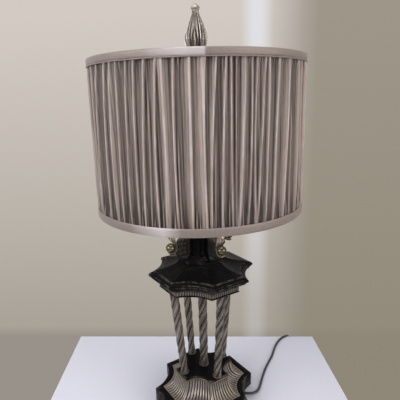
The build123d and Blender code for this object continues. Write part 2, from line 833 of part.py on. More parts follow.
# The cord's route on the table after the wall, to the coil, chosen by hand along the photograph
CORD_ROUTE = [
    (86.5, 4.0, 7.5),
    (94.9, 7.1, 7.0),
    (101.6, 13.1, 5.9),
    (105.8, 21.7, 4.5),
    (108.1, 33.4, 3.2),
    (109.7, 48.3, 2.5),
    (112.0, 67.0, 2.5),
    (115.2, 89.0, 2.5),
    (121.3, 115.0, 2.5),
    (128.4, 140.0, 2.5),
    (131.6, 160.0, 2.5),
    (134.8, 182.0, 2.5),
    (143.0, 208.0, 2.5),
    (150.5, 221.5, 2.5),
    (160.0, 231.5, 2.5),
    (173.0, 239.5, 2.5),
    (188.0, 243.5, 2.6),
]
COIL_LEAD_IN = 14.0


def coil_centre():
    """The middle of the lower layer, which lies on the tie."""
    return Vector(*COIL_CENTRE, TIE_T + FACE_GAP + CORD_R)


def coil_start():
    """Where the coil's first straight run begins, and which way it heads."""
    out = at_angle(1, COIL_START_ANGLE)
    along = at_angle(1, COIL_START_ANGLE + 90)
    return coil_centre() + out * COIL_OUTER_R - along * 2 * CORD_R, along


def turn_radii(points):
    """The largest arc that each corner of a route allows: 0.45 of its shorter run over tan(half turn)."""
    radii = []
    for before, corner, after in zip(points, points[1:], points[2:]):
        first, second = corner - before, after - corner
        turn = radians(first.get_angle(second))
        shorter = min(first.length, second.length)
        radii.append(0.45 * shorter / tan(turn / 2))
    return radii


def lead_points():
    start, along = coil_start()
    route = [Vector(*point) for point in CORD_ROUTE]
    return [Vector(exit_x(), CORD_Y, CORD_Z)] + route + [start - along * COIL_LEAD_IN, start]


def cord_lead():
    points = lead_points()
    radii = turn_radii(points)
    print("cord turn radii, mm:", [round(r, 1) for r in radii])
    print("cord runs, mm:", [round((b - a).length, 1) for a, b in zip(points, points[1:])])
    path = FilletPolyline(*points, radius=radii)
    start = Plane(origin=path @ 0, z_dir=path % 0)
    lead = sweep(start * Circle(CORD_R), path=path)
    print("cord lead length", round(path.length, 1), "volume over section times length",
          round(lead.volume / (pi * CORD_R**2 * path.length), 5))
    return lead


def smooth_join(start, leaving, end, arriving):
    """Two arcs of equal reach that leave one point and arrive at another along given headings."""
    gap = end - start
    side = leaving + arriving
    a = side.dot(side) - 4
    b = -2 * gap.dot(side)
    c = gap.dot(gap)
    root = sqrt(b * b - 4 * a * c)
    reach = min(r for r in ((-b - root) / (2 * a), (-b + root) / (2 * a)) if r > 0)
    first = start + leaving * reach
    last = end - arriving * reach
    middle = (first + last) / 2
    heading = (last - first).normalized()
    return [
        Edge.make_tangent_arc(start, leaving, middle),
        Edge.make_tangent_arc(middle, heading, end),
    ]


def coil_edges():
    """Half turns that spiral in on the lower layer, climb, and spiral out again on the upper one."""
    start, along = coil_start()
    point = start + along * 2 * CORD_R
    edges = [Edge.make_line(start, point)]
    out = (point - coil_centre()).normalized()
    radius = COIL_OUTER_R
    climb = round(2 * COIL_TURNS)
    steps = [-1] * (climb + 1) + [2] + [1] * (climb - 1)
    for half, step in enumerate(steps):
        side = Vector(-out.Y, out.X, 0)
        diameter = 2 * radius + step * COIL_PITCH / 2
        end = point - out * diameter
        if half == climb:
            end += Vector(0, 0, COIL_PITCH)
            edges += smooth_join(point, side, end, side * -1)
        else:
            middle = point - out * (diameter / 2) + side * (diameter / 2)
            edges.append(Edge.make_three_point_arc(point, middle, end))
        radius += step * COIL_PITCH / 2
        point, out = end, out * -1
    side = Vector(-out.Y, out.X, 0)
    edges.append(Edge.make_line(point, point + side * PLUG_TAIL))
    return edges, point + side * PLUG_TAIL, side


def least_gap(edges):
    """The smallest space between turns, on points along the centreline."""
    spots = [edge @ (n / 24) for edge in edges for n in range(24)]
    lengths = [0.0]
    for first, last in zip(spots, spots[1:]):
        lengths.append(lengths[-1] + (last - first).length)
    near = min(
        (spots[i] - spots[j]).length
        for i in range(len(spots))
        for j in range(i + 1, len(spots))
        if lengths[j] - lengths[i] > 6 * CORD_R
    )
    return near - 2 * CORD_R


def cord_coil():
    edges, _, _ = coil_edges()
    print("coil length", round(sum(edge.length for edge in edges), 1),
          "least gap to itself", round(least_gap(edges), 2))
    path = Wire(edges)
    start = Plane(origin=edges[0] @ 0, z_dir=edges[0] % 0)
    coil = sweep(start * Circle(CORD_R), path=path)
    print("coil volume over section times length", round(coil.volume / (pi * CORD_R**2 * path.length), 5))
    return coil


def coil_tie():
    """A flat strap round the bundle of turns, a quarter turn back from where the cord comes in."""
    outer_r = COIL_OUTER_R - 0.75 * COIL_PITCH + CORD_R
    inner_r = COIL_OUTER_R - (COIL_TURNS + 0.25) * COIL_PITCH - CORD_R
    near = inner_r - TIE_W**2 / (8 * inner_r) - TIE_GAP
    far = outer_r + TIE_GAP
    low = TIE_T
    high = coil_centre().Z + CORD_R + COIL_PITCH + TIE_GAP
    outside = Box(far - near + 2 * TIE_T, TIE_W, high - low + 2 * TIE_T)
    inside = Box(far - near, 2 * TIE_W, high - low)
    strap = Pos((near + far) / 2, 0, (low + high) / 2) * (outside - inside)
    return Pos(*COIL_CENTRE, 0) * turn_to(strap, COIL_START_ANGLE - 90)


def plug_frame():
    _, end, heading = coil_edges()
    return Plane(origin=end, x_dir=(0, 0, 1), z_dir=heading)


def plug_body():
    """A flat moulded plug that swells from the cord to its face."""
    frame = plug_frame()
    half = frame.origin.Z - FACE_GAP
    neck = frame * Circle(PLUG_NECK_R)
    shoulder = frame.offset(0.45 * PLUG_L) * RectangleRounded(2 * half * 0.9, PLUG_W * 0.85, 4)
    face = frame.offset(PLUG_L) * RectangleRounded(2 * half, PLUG_W, 4)
    return loft([neck, shoulder]) + loft([shoulder, face])


def plug_blades():
    frame = plug_frame()
    blades = []
    for side in (-1, 1):
        face = frame.offset(PLUG_L) * Pos(0, side * BLADE_PITCH / 2) * Rectangle(BLADE_W, BLADE_T)
        blades.append(extrude(face, BLADE_L).solid())
    return Compound(blades)


def all_parts():
    parts = {
        "felt_pad": felt_pad(),
        "base_slab": base_slab(),
        "fluted_skirt": fluted_skirt(),
        "base_weight": base_weight(),
        "platform": platform(),
        "platform_trim": platform_trim(),
        "threaded_rod": threaded_rod(),
        "bottom_washer": bottom_washer(),
        "bottom_nut": bottom_nut(),
        "centre_column": centre_column(),
    }
    columns = []
    for name, angle in DIAGONALS.items():
        column = leaning_column(angle)
        columns.append((angle, column))
        parts[f"rope_column_{name}"] = column
    parts["column_foot_rings"] = column_foot_rings(columns, parts["centre_column"])
    parts["capital_apron"] = capital_apron()
    parts["bead_moulding"] = bead_moulding()
    parts["capital_plate"] = capital_plate()
    parts["capital_flare"] = capital_flare()
    parts["neck_foot"] = neck_foot()
    parts["vase_shaft"] = vase_shaft()
    bracket = scroll_bracket()
    leaf = scroll_leaf(bracket, [turn_to(parts[node], 45) for node in ("vase_shaft", "neck_foot")])
    for name, angle in DIAGONALS.items():
        parts[f"scroll_bracket_{name}"] = turn_to(bracket, angle)
        parts[f"scroll_ball_{name}"] = turn_to(scroll_ball(), angle)
    parts["scroll_leaves"] = Compound([turn_to(leaf, angle) for angle in DIAGONALS.values()])
    parts["vase_cap"] = vase_cap()
    parts["brass_neck"] = brass_neck()
    parts["check_ring"] = check_ring()
    parts["harp_saddle"] = harp_saddle()
    parts["harp"] = harp()
    parts["harp_sleeve_left"] = harp_sleeve(-1)
    parts["harp_sleeve_right"] = harp_sleeve(1)
    parts["socket_cap"] = socket_cap()
    parts["socket_shell"] = socket_shell()
    parts["insulating_sleeve"] = insulating_sleeve()
    parts["socket_core"] = socket_core()
    parts["switch_knob"] = switch_knob()
    parts["bulb_base"] = bulb_base()
    parts["bulb_glass"] = bulb_glass()
    parts["shade_spider"] = shade_spider()
    parts["shade_bottom_ring"] = shade_bottom_ring()
    parts["shade_lining"] = shade_lining()
    parts["pleated_cover"] = pleated_cover()
    parts["top_trim"] = trim_band(SHADE_TOP - TOP_TRIM_H, SHADE_TOP)
    parts["top_piping"] = top_piping()
    parts["bottom_trim"] = trim_band(SHADE_BASE, SHADE_BASE + BOTTOM_TRIM_H)
    parts["finial"] = finial()
    parts["inner_wire"] = inner_wire()
    parts["cord_lead"] = cord_lead()
    parts["strain_relief"] = strain_relief()
    parts["cord_coil"] = cord_coil()
    parts["coil_tie"] = coil_tie()
    parts["plug_body"] = plug_body()
    parts["plug_blades"] = plug_blades()
    return parts


os.makedirs("parts", exist_ok=True)
for node, shape in all_parts().items():
    export_step(shape, f"parts/{node}.step")
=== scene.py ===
import math
from functools import cache, partial, reduce

import bpy
import numpy as np
from bpy.props import FloatProperty, FloatVectorProperty, IntProperty, PointerProperty
from mathutils import Matrix, Vector


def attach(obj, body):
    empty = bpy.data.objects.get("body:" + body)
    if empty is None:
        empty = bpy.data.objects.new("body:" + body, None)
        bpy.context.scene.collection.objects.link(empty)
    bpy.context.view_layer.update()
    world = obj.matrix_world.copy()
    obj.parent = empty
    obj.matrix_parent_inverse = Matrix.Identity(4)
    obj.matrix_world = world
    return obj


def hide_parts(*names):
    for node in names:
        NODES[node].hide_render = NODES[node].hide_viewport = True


bl_info = {
    "name": "Candlestick table lamp",
    "version": (1, 0, 0),
    "blender": (4, 5, 0),
    "location": "View3D > Sidebar > Lamp",
    "description": "Table lamp with a fluted foot, rope columns, a carved head and a gathered drum shade",
    "category": "Add Mesh",
}

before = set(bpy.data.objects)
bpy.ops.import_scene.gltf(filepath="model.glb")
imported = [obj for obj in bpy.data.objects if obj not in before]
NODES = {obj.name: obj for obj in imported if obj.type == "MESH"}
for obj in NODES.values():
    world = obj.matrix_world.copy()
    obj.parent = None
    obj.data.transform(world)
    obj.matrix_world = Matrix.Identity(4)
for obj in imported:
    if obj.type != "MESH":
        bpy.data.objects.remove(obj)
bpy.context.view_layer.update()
MM = 0.001
FULL = 2 * math.pi


# ---------------------------------------------------------------- settings

def size(name, description, default, low=0.0, high=1.0):
    return FloatProperty(name=name, description=description, default=default, min=low, max=high,
                         subtype="DISTANCE", unit="LENGTH", precision=4)


def paint(name, description, default):
    return FloatVectorProperty(name=name, description=description, default=default, min=0.0, max=1.0,
                               size=3, subtype="COLOR")


def count(name, description, default, low=1, high=400):
    return IntProperty(name=name, description=description, default=default, min=low, max=high)


class FootSettings(bpy.types.PropertyGroup):
    """Sizes and colours of the fluted foot"""
    hollow_reeds: count("Reeds on a hollow side", "Reeds carved on each hollow side of the skirt", 10)
    flat_reeds: count("Reeds on a straight side", "Reeds carved on each straight side of the skirt", 9)
    reed_depth: size("Reed depth", "Depth of the grooves between reeds", 0.0026)
    lacquer: paint("Lacquer", "Colour of the black lacquer", (0.0048, 0.0050, 0.0056))
    undercoat: paint("Undercoat", "Red-brown that shows where the lacquer is rubbed", (0.085, 0.030, 0.020))
    # Worn edge: grey on the lacquer's edges, partly wear and partly a painted highlight along them
    worn_edge_and_painted_highlight: paint("Worn edge", "Colour of the most rubbed edges", (0.080, 0.073, 0.068))
    silver: paint("Silver leaf", "Colour of the raised leaf on the reeds", (0.35, 0.310, 0.280))
    recess: paint("Recess", "Colour in the grooves of the leaf", (0.022, 0.014, 0.010))


class ColumnSettings(bpy.types.PropertyGroup):
    """Sizes and colours of the rope-twist columns"""
    strands: count("Strands", "Strands twisted round each column", 4, 2, 12)
    pitch: size("Pitch", "Height in which a strand goes once round", 0.098, 0.02, 0.5)
    strand_depth: size("Strand depth", "Depth of the grooves between strands", 0.0028)
    silver: paint("Rope silver", "Colour on the strands", (0.30, 0.258, 0.213))
    groove: paint("Groove", "Colour in the grooves", (0.011, 0.008, 0.006))


class HeadSettings(bpy.types.PropertyGroup):
    """Sizes of the eight-sided head"""
    bead_pitch: size("Bead pitch", "Distance from one bead to the next along the band", 0.0044, 0.002, 0.05)
    bead_depth: size("Bead depth", "How far the beads stand out", 0.0019)


class NeckSettings(bpy.types.PropertyGroup):
    """Colours of the neck's scrolls, balls and leaves"""
    scroll: paint("Scroll silver", "Colour of the scroll brackets", (0.62, 0.55, 0.47))
    ball: paint("Ball gilt", "Colour of the four balls", (0.135, 0.122, 0.075))
    leaf: paint("Leaf bronze", "Colour of the leaves", (0.150, 0.118, 0.094))
    brass: paint("Brass", "Colour of the fittings under the shade", (0.52, 0.36, 0.14))


class ShadeSettings(bpy.types.PropertyGroup):
    """Sizes and colours of the gathered shade"""
    back_folds: count("Folds behind", "Long folds on the drum's back and sides", 46, 12, 120)
    puckers: count("Puckers", "Small puckers of cloth at each band", 130, 20, 300)
    cloth: paint("Cloth", "Colour of the satin", (0.312, 0.258, 0.219))
    # Painted highlight: crest and cool crest are painted on the folds' crests
    crest: paint("Crest", "Colour where the folds catch the light", (0.54, 0.475, 0.43))
    cool_crest: paint("Cool crest", "Colour where the folds catch the sky's light", (0.57, 0.52, 0.55))
    # Painted shade: the colour deep in the folds
    fold_shade: paint("Fold shade", "Colour deep in the folds", (0.026, 0.015, 0.011))
    band: paint("Band", "Colour of the bands", (0.245, 0.206, 0.180))
    # Painted sheen: a lighter colour on the bands' lapped end
    painted_lap_sheen: paint("Band's lap", "Colour of the bands' lapped end in front", (0.52, 0.47, 0.48))
    lining: paint("Lining", "Colour of the lining", (0.74, 0.70, 0.62))


class FinialSettings(bpy.types.PropertyGroup):
    """Sizes and colour of the finial"""
    petals: count("Petals", "Petals round the bud", 7, 4, 16)
    relief: size("Relief", "How far the petals stand out", 0.0032)
    silver: paint("Finial silver", "Colour on the petals", (0.47, 0.42, 0.375))


class CordSettings(bpy.types.PropertyGroup):
    """Size and colour of the cord"""
    diameter: size("Cord diameter", "Thickness of the cord", 0.005, 0.003, 0.012)
    rubber: paint("Cord colour", "Colour of the cord and plug", (0.012, 0.014, 0.022))


class StageSettings(bpy.types.PropertyGroup):
    """Colours and light of the stage"""
    table: paint("Table", "Colour of the table top", (0.66, 0.67, 0.75))
    wall: paint("Wall", "Colour of the wall", (0.645, 0.59, 0.545))
    daylight: FloatProperty(name="Daylight", description="Strength of the soft light all round",
                            default=0.62, min=0.0, max=4.0)


# ---------------------------------------------------------------- numbers and places, in mm

def blend(low, high, share):
    """From low where the share is 0 to high where it is 1, in a straight line."""
    return low + (high - low) * share


def ease(value, start, end):
    """0 up to the start, 1 from the end on and a straight line between. The end may be the lower one."""
    return np.clip((value - start) / (end - start), 0, 1)


def soft_step(share):
    """A share from 0 to 1 that sets off and arrives gently: its square times three less twice itself."""
    return share**2 * (3 - 2 * share)


def bell(value, middle, width):
    """A Gaussian: 1 in the middle, and e to the minus square of the distance from it in widths."""
    return np.exp(-(((value - middle) / width) ** 2))


def half_round(share):
    """The height of a half circle across a share from 0 to 1: nothing at both ends, 1 in the middle."""
    return np.sqrt(np.clip(1 - (2 * share - 1) ** 2, 0, 1))


def superellipse(angle, power):
    """A rounded square of half width 1: each axis is the cosine or sine raised to a power, sign kept."""
    c, s = np.cos(angle), np.sin(angle)
    return np.sign(c) * np.abs(c) ** power, np.sign(s) * np.abs(s) ** power


def full_turn(steps):
    """Angles once round, from zero to one step short of it."""
    return np.linspace(0, FULL, steps, endpoint=False)


def towards(degrees):
    """The level unit vector at an angle from +X."""
    return np.array([math.cos(math.radians(degrees)), math.sin(math.radians(degrees))])


def around(radius, angle, height, centre=(0.0, 0.0)):
    """Points at a radius and an angle about an upright line, and a height, over the whole grid."""
    x = centre[0] + radius * np.cos(angle)
    y = centre[1] + radius * np.sin(angle)
    return np.stack(np.broadcast_arrays(x, y, height), -1)


def headed(out, across, height, degrees):
    """Points that stand so far out along a heading, across it to its left, and up."""
    c, s = towards(degrees)
    return np.stack(np.broadcast_arrays(out * c - across * s, out * s + across * c, height), -1)


def smooth_line(points, steps):
    """A line through the points: cubic pieces whose slope at a point is half the step between its
    neighbours."""
    p = np.array(points, float)
    padded = np.concatenate([[2 * p[0] - p[1]], p, [2 * p[-1] - p[-2]]])
    t = np.linspace(0, len(p) - 1, steps)
    n = np.minimum(t.astype(int), len(p) - 2)
    f = (t - n)[:, None]
    a, b, c, d = (padded[n + k] for k in range(4))
    return 0.5 * (2 * b + (c - a) * f + (2 * a - 5 * b + 4 * c - d) * f**2 + (3 * b - a - 3 * c + d) * f**3)


def random_waves(draw, angle, numbers, power=0.0):
    """Waves of random height and phase, so many to the turn and lower by a power of that number. Their
    sum is divided by its own peak."""
    waves = sum(draw.normal(0, 1) * np.sin(k * angle + draw.uniform(0, FULL)) / k**power for k in numbers)
    return waves / np.abs(waves).max()


# ---------------------------------------------------------------- meshes

def add_object(name, data):
    """A new object of the scene round its mesh, curve, lamp or camera."""
    made = bpy.data.objects.new(name, data)
    bpy.context.scene.collection.objects.link(made)
    return made


def quad_indices(rows, cols, loop_rows):
    """Corner numbers of a grid's quads: each point joins its neighbour along and the two above."""
    r, c = np.meshgrid(np.arange(rows if loop_rows else rows - 1), np.arange(cols), indexing="ij")
    r2, c2 = (r + 1) % rows, (c + 1) % cols
    return np.stack([r * cols + c, r * cols + c2, r2 * cols + c2, r2 * cols + c], -1).reshape(-1, 4)


def quad_uvs(quads, rows, cols):
    """A quad corner's column and row as shares of the grid, with the closing column at 1, not 0."""
    row, col = quads // cols, quads % cols
    closing = col.max(1, keepdims=True) == cols - 1
    col = np.where((col == 0) & closing, cols, col)
    return np.stack([col / cols, row / rows], -1).reshape(-1, 2)


def grid_piece(name, points, loop_rows=False, values=None, smooth=50.0):
    """A piece from a grid of points (rows, columns, 3) in mm. The columns close on themselves, and the
    rows do too, or they end in two fans to the middle of the first and the last row. values holds named
    point attributes of the same rows and columns."""
    rows, cols, _ = points.shape
    points = points * MM
    verts = points.reshape(-1, 3)
    faces = [quad_indices(rows, cols, loop_rows)]
    uvs = [quad_uvs(faces[0], rows, cols)]
    if not loop_rows:
        ring = np.arange(cols)
        after = np.roll(ring, -1)
        for end, base in enumerate((0, (rows - 1) * cols)):
            rim = (ring, after) if end else (after, ring)
            faces.append(np.stack([rim[0] + base, rim[1] + base, np.full(cols, rows * cols + end)], -1))
            uvs.append(np.tile([0.5, float(end)], (cols * 3, 1)))
        verts = np.concatenate([verts, [points[0].mean(0), points[-1].mean(0)]])
    loops = np.concatenate([face.ravel() for face in faces]).astype(np.int32)
    corners = np.concatenate([np.full(len(face), face.shape[1]) for face in faces])
    starts = np.concatenate([[0], np.cumsum(corners)[:-1]]).astype(np.int32)
    mesh = bpy.data.meshes.new(name)
    mesh.vertices.add(len(verts))
    mesh.vertices.foreach_set("co", verts.astype(np.float32).ravel())
    mesh.loops.add(len(loops))
    mesh.loops.foreach_set("vertex_index", loops)
    mesh.polygons.add(len(corners))
    mesh.polygons.foreach_set("loop_start", starts)
    uv_layer = mesh.uv_layers.new(name="UVMap")
    uv_layer.data.foreach_set("uv", np.concatenate(uvs).astype(np.float32).ravel())
    for key, value in (values or {}).items():
        flat = np.zeros(len(verts), np.float32)
        flat[:rows * cols] = np.broadcast_to(value, (rows, cols)).ravel()
        mesh.attributes.new(key, "FLOAT", "POINT").data.foreach_set("value", flat)
    mesh.update(calc_edges=True)
    if mesh.validate():
        raise RuntimeError(f"{name} has faces that had to be mended")
    mesh.polygons.foreach_set("use_smooth", np.ones(len(mesh.polygons), bool))
    mesh.set_sharp_from_angle(angle=math.radians(smooth))
    return add_object(name, mesh)


def grid_normals(points):
    """Unit normals of a grid that closes along its rows, from the cross product of its two directions."""
    along = np.roll(points, -1, 1) - np.roll(points, 1, 1)
    normal = np.cross(along, np.gradient(points, axis=0))
    return normal / np.maximum(np.linalg.norm(normal, axis=-1, keepdims=True), 1e-9)


def flat_piece(name, corners, material):
    """One flat face through its corners, given so that it faces the way it is seen."""
    mesh = bpy.data.meshes.new(name)
    mesh.from_pydata(corners, [], [list(range(len(corners)))])
    mesh.materials.append(material)
    return add_object(name, mesh)


def finish_piece(piece, finish, slot, *nodes, body="root"):
    """Gives a piece its finish and body, and hides the nodes that it stands for. The slot is not used."""
    piece.data.materials.append(finish())
    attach(piece, body)
    if nodes:
        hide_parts(*nodes)
    return piece


# ---------------------------------------------------------------- the plan of foot, head and neck

# Its eight corners stand this far each side of every axis, as in the packed model
CORNER = math.radians(23.4)
# Steps along a hollow and along a straight side, and the length of a side over the corners' radius
PLAN_STEPS, SLAB_STEPS, HEAD_STEPS, NECK_STEPS = (26, 14), (34, 18), (30, 16), (14, 10)
SIDE_SHARE = 0.78
# A sharp edge gets a row this far to each side, at most this share of the way to the next one, and is
# itself pulled in towards the two by this share
EDGE_WIDTH, EDGE_REACH = 0.55, 0.4
EDGE_ROUNDING = 0.5
# Worn marks also place a painted highlight: the lacquer's grey edge is partly wear, partly highlight
# How worn an edge's three rows are, and how much the rows and the plan's corners count
EDGE_WEAR = (0.6, 1.0, 0.6)
ROW_WEAR, CORNER_WEAR, MOST_WEAR = 1.20, 0.5, 1.25


def spread(steps, edge):
    """Fractions of a side from one corner up to the next, with one close to each corner."""
    return np.concatenate([[0.0], np.linspace(edge, 1 - edge, steps - 1)])


def plan_rows(radius, hollow, height, steps=PLAN_STEPS, corner_width=0.9, rounding=0.5):
    """The eight-sided plan at each row, and how worn its columns are: circular hollows across the axes,
    whose sagitta is the hollow, and straight sides between them. Each corner is pulled in towards its two
    neighbours."""
    rows = [np.asarray(value, float).reshape(-1, 1) for value in (radius, hollow, height)]
    radius, hollow, height = np.broadcast_arrays(*rows)
    edge = corner_width / (SIDE_SHARE * float(radius.mean()))
    half = radius * math.sin(CORNER)
    deepest = radius * math.cos(CORNER) - hollow
    bend = (half**2 + hollow**2) / (2 * hollow)
    across = half * (2 * spread(steps[0], edge) - 1)
    inner = deepest + bend - np.sqrt(bend**2 - across**2)
    start = radius * np.array([[math.cos(CORNER), math.sin(CORNER)]])
    end = start[:, ::-1]
    straight = blend(start[:, None], end[:, None], spread(steps[1], edge)[None, :, None])
    side = np.concatenate([np.stack([inner, across], -1), straight], 1)
    x, y = side[..., 0], side[..., 1]
    turns = [np.stack([x * c - y * s, x * s + y * c], -1) for c, s in ((1, 0), (0, 1), (-1, 0), (0, -1))]
    loop = np.concatenate(turns, 1)
    cols = loop.shape[1]
    corners = np.concatenate([np.arange(4) * sum(steps), np.arange(4) * sum(steps) + steps[0]])
    before, after = (corners - 1) % cols, (corners + 1) % cols
    worn = np.zeros(cols)
    worn[np.concatenate([before, corners, after])] = 1.0
    pulled = rounding / 2 * (loop[:, before] + loop[:, after])
    loop[:, corners] = (1 - rounding) * loop[:, corners] + pulled
    return np.concatenate([loop, np.broadcast_to(height[:, :, None], (*loop.shape[:2], 1))], -1), worn


def supported(profile):
    """A profile of (radius, hollow, height, sharp) rows with a row close to each side of every sharp one,
    which itself is pulled in towards the two, and how worn each row is."""
    rows = np.array([row[:3] for row in profile], float)
    out, worn = [], []
    for n, row in enumerate(rows):
        if not profile[n][3] or n in (0, len(rows) - 1):
            out.append(row)
            worn.append(0.0)
            continue
        near = []
        for other in (rows[n - 1], rows[n + 1]):
            reach = np.linalg.norm((other - row)[[0, 2]])
            near.append(blend(row, other, min(EDGE_WIDTH / reach, EDGE_REACH)))
        out += [near[0], (1 - EDGE_ROUNDING) * row + EDGE_ROUNDING / 2 * (near[0] + near[1]), near[1]]
        worn += EDGE_WEAR
    return np.array(out), np.array(worn)


def tier_piece(name, profile, steps=PLAN_STEPS, corner_width=0.9, worn=1.0):
    """A moulding: the plan carried up a profile, with its worn edges marked, which get wear and a painted
    highlight.
    """
    rows, row_wear = supported(profile)
    points, corner_wear = plan_rows(*rows.T, steps, corner_width)
    wear = np.clip(row_wear[:, None] * ROW_WEAR + corner_wear * CORNER_WEAR, 0, MOST_WEAR) * worn
    return grid_piece(name, points, values={"wear": wear})


# ---------------------------------------------------------------- materials

def toned(color, *shares):
    """A colour with each channel times its own share, or all three times the one that is given."""
    return [channel * share for channel, share in zip(color, shares if len(shares) == 3 else shares * 3)]


class Tree:
    """Short ways to place and join the nodes of one tree."""

    def __init__(self, tree):
        self.tree = tree
        self.nodes = tree.nodes

    def fill(self, node, inputs):
        """Links or sets the inputs of a node by their names or numbers."""
        for key, value in inputs.items():
            socket = node.inputs[key]
            if isinstance(value, bpy.types.NodeSocket):
                self.tree.links.new(value, socket)
            elif socket.type == "RGBA" and len(value) == 3:
                socket.default_value = (*value, 1.0)
            else:
                socket.default_value = value
        return node

    def add(self, kind, inputs=None, **settings):
        node = self.nodes.new(kind)
        for key, value in settings.items():
            setattr(node, key, value)
        return self.fill(node, inputs or {})

    def math(self, operation, *values):
        return self.add("ShaderNodeMath", dict(enumerate(values)), operation=operation).outputs[0]

    def times(self, *factors):
        return reduce(partial(self.math, "MULTIPLY"), factors)

    def plus(self, *terms):
        return reduce(partial(self.math, "ADD"), terms)

    def mix(self, factor, a, b, blend_type="MIX"):
        keys = {0: factor, 6: a, 7: b}
        return self.add("ShaderNodeMix", keys, data_type="RGBA", blend_type=blend_type).outputs[2]

    def ramp(self, value, low, high, out_low=0.0, out_high=1.0):
        keys = {0: value, 1: low, 2: high, 3: out_low, 4: out_high}
        return self.add("ShaderNodeMapRange", keys, clamp=True).outputs[0]

    def noise(self, vector, scale, detail=3.0, roughness=0.55):
        keys = {"Vector": vector, "Scale": scale, "Detail": detail, "Roughness": roughness}
        return self.add("ShaderNodeTexNoise", keys).outputs["Fac"]

    def bump(self, height, strength, distance):
        keys = {"Strength": strength, "Distance": distance, "Height": height}
        return self.add("ShaderNodeBump", keys).outputs[0]

    def axes(self, vector):
        return self.add("ShaderNodeSeparateXYZ", {0: vector}).outputs

    def coordinates(self, kind="Object"):
        return self.add("ShaderNodeTexCoord").outputs[kind]

    def attribute(self, name):
        return self.add("ShaderNodeAttribute", attribute_name=name).outputs["Fac"]

    def place(self, group, **inputs):
        """A node group with its inputs, whose names are given in small letters, and its outputs."""
        keys = {key.title(): value for key, value in inputs.items()}
        return self.add("ShaderNodeGroup", keys, node_tree=group).outputs


FLOAT, COLOR, VECTOR = "NodeSocketFloat", "NodeSocketColor", "NodeSocketVector"


def new_group(name, inputs, outputs):
    """An empty shader node group with these sockets: the group, its tree, what comes in and its end."""
    group = bpy.data.node_groups.new(name, "ShaderNodeTree")
    for direction, sockets in (("INPUT", inputs), ("OUTPUT", outputs)):
        for key, kind in sockets.items():
            group.interface.new_socket(key, in_out=direction, socket_type=kind)
    tree = Tree(group)
    return group, tree, tree.add("NodeGroupInput").outputs, tree.add("NodeGroupOutput")


@cache
def wear_group():
    """Rubbed edges: the wear marked on the mesh, broken up by noise, where the lacquer also gets a painted
    highlight, and faint rubbing elsewhere.
    """
    group, t, given, end = new_group(
        "Rubbed edge", {"Vector": VECTOR, "Wear": FLOAT, "Scale": FLOAT}, {"Edge": FLOAT, "Rub": FLOAT})
    coarse = t.noise(given["Vector"], given["Scale"], 4.0, 0.65)
    fine = t.noise(given["Vector"], t.times(given["Scale"], 7.0), 3.0, 0.7)
    broken = t.plus(t.times(coarse, 0.75), t.times(fine, 0.25))
    reach = t.times(given["Wear"], t.ramp(broken, 0.40, 0.60))
    t.fill(end, {"Edge": t.ramp(reach, 0.35, 0.95), "Rub": t.ramp(t.times(coarse, fine), 0.30, 0.42)})
    return group


@cache
def patina_group():
    """Antique leaf: darker in the recesses and in blotches, with a warm or green tint here and there."""
    group, t, given, end = new_group(
        "Antique leaf",
        {"Vector": VECTOR, "Recess": FLOAT, "Light": COLOR, "Dark": COLOR, "Tint": COLOR, "Scale": FLOAT},
        {"Color": COLOR, "Mask": FLOAT})
    vector, scale = given["Vector"], given["Scale"]
    blotch = t.noise(vector, scale, 5.0, 0.65)
    grain = t.noise(vector, t.times(scale, 9.0), 2.0, 0.6)
    tinted = t.ramp(t.noise(vector, t.times(scale, 0.3), 2.0, 0.5), 0.42, 0.62)
    dirt = t.plus(given["Recess"], t.times(t.math("SUBTRACT", blotch, 0.5), 1.1),
                  t.times(t.math("SUBTRACT", grain, 0.5), 0.5))
    dirt = t.ramp(dirt, 0.05, 0.95)
    leaf = t.mix(t.times(tinted, 0.55), given["Light"], given["Tint"])
    t.fill(end, {"Color": t.mix(dirt, leaf, given["Dark"]), "Mask": dirt})
    return group


@cache
def weave_group():
    """Satin weave from a UV map in threads: fine crossed waves with slubs, as a height."""
    group, t, given, end = new_group(
        "Satin weave", {"Vector": VECTOR, "Around": FLOAT, "Along": FLOAT}, {"Height": FLOAT, "Slub": FLOAT})
    u, v, _ = t.axes(given["Vector"])
    warp = t.math("SINE", t.times(u, given["Around"], FULL))
    weft = t.math("SINE", t.times(v, given["Along"], FULL))
    stretched = t.add("ShaderNodeCombineXYZ", {0: t.times(u, 420.0), 1: t.times(v, 14.0)}).outputs[0]
    slub = t.noise(stretched, 1.0, 3.0, 0.6)
    height = t.plus(t.times(warp, weft, 0.35), t.times(weft, 0.25), t.times(slub, 1.2))
    t.fill(end, {"Height": height, "Slub": slub})
    return group


def new_material(name):
    """A material with its tree and its surface shader."""
    material = bpy.data.materials.new(name)
    material.use_nodes = True
    return material, Tree(material.node_tree), material.node_tree.nodes["Principled BSDF"]


@cache
def lacquer():
    """Black lacquer, faintly brown in patches, near worn edges and where it is rubbed, and grey on the edges
    themselves, which is partly wear and partly a painted highlight."""
    own = bpy.context.scene.lamp_foot
    material, t, shader = new_material("black lacquer")
    vector, wear = t.coordinates(), t.attribute("wear")
    worn = t.place(wear_group(), vector=vector, wear=wear, scale=85.0)
    patches = t.ramp(t.noise(vector, 34.0, 3.0, 0.6), 0.60, 0.78)
    halo = t.ramp(t.plus(wear, t.times(t.noise(vector, 60.0), 0.6)), 0.95, 1.45)
    base = own.lacquer
    for mask, share in ((patches, 0.12), (worn["Rub"], 0.08), (halo, 0.12)):
        base = t.mix(t.times(mask, share), base, own.undercoat)
    rough = t.ramp(t.noise(vector, 120.0, 4.0, 0.6), 0.3, 0.7, 0.22, 0.36)
    t.fill(shader, {
        "Base Color": t.mix(worn["Edge"], base, own.worn_edge_and_painted_highlight),
        "Roughness": t.plus(rough, t.times(worn["Edge"], 0.25)),
        "Normal": t.bump(t.noise(vector, 260.0), 0.25, 0.0004),
        "Specular IOR Level": 0.05,
        "IOR": 1.35,
    })
    return material


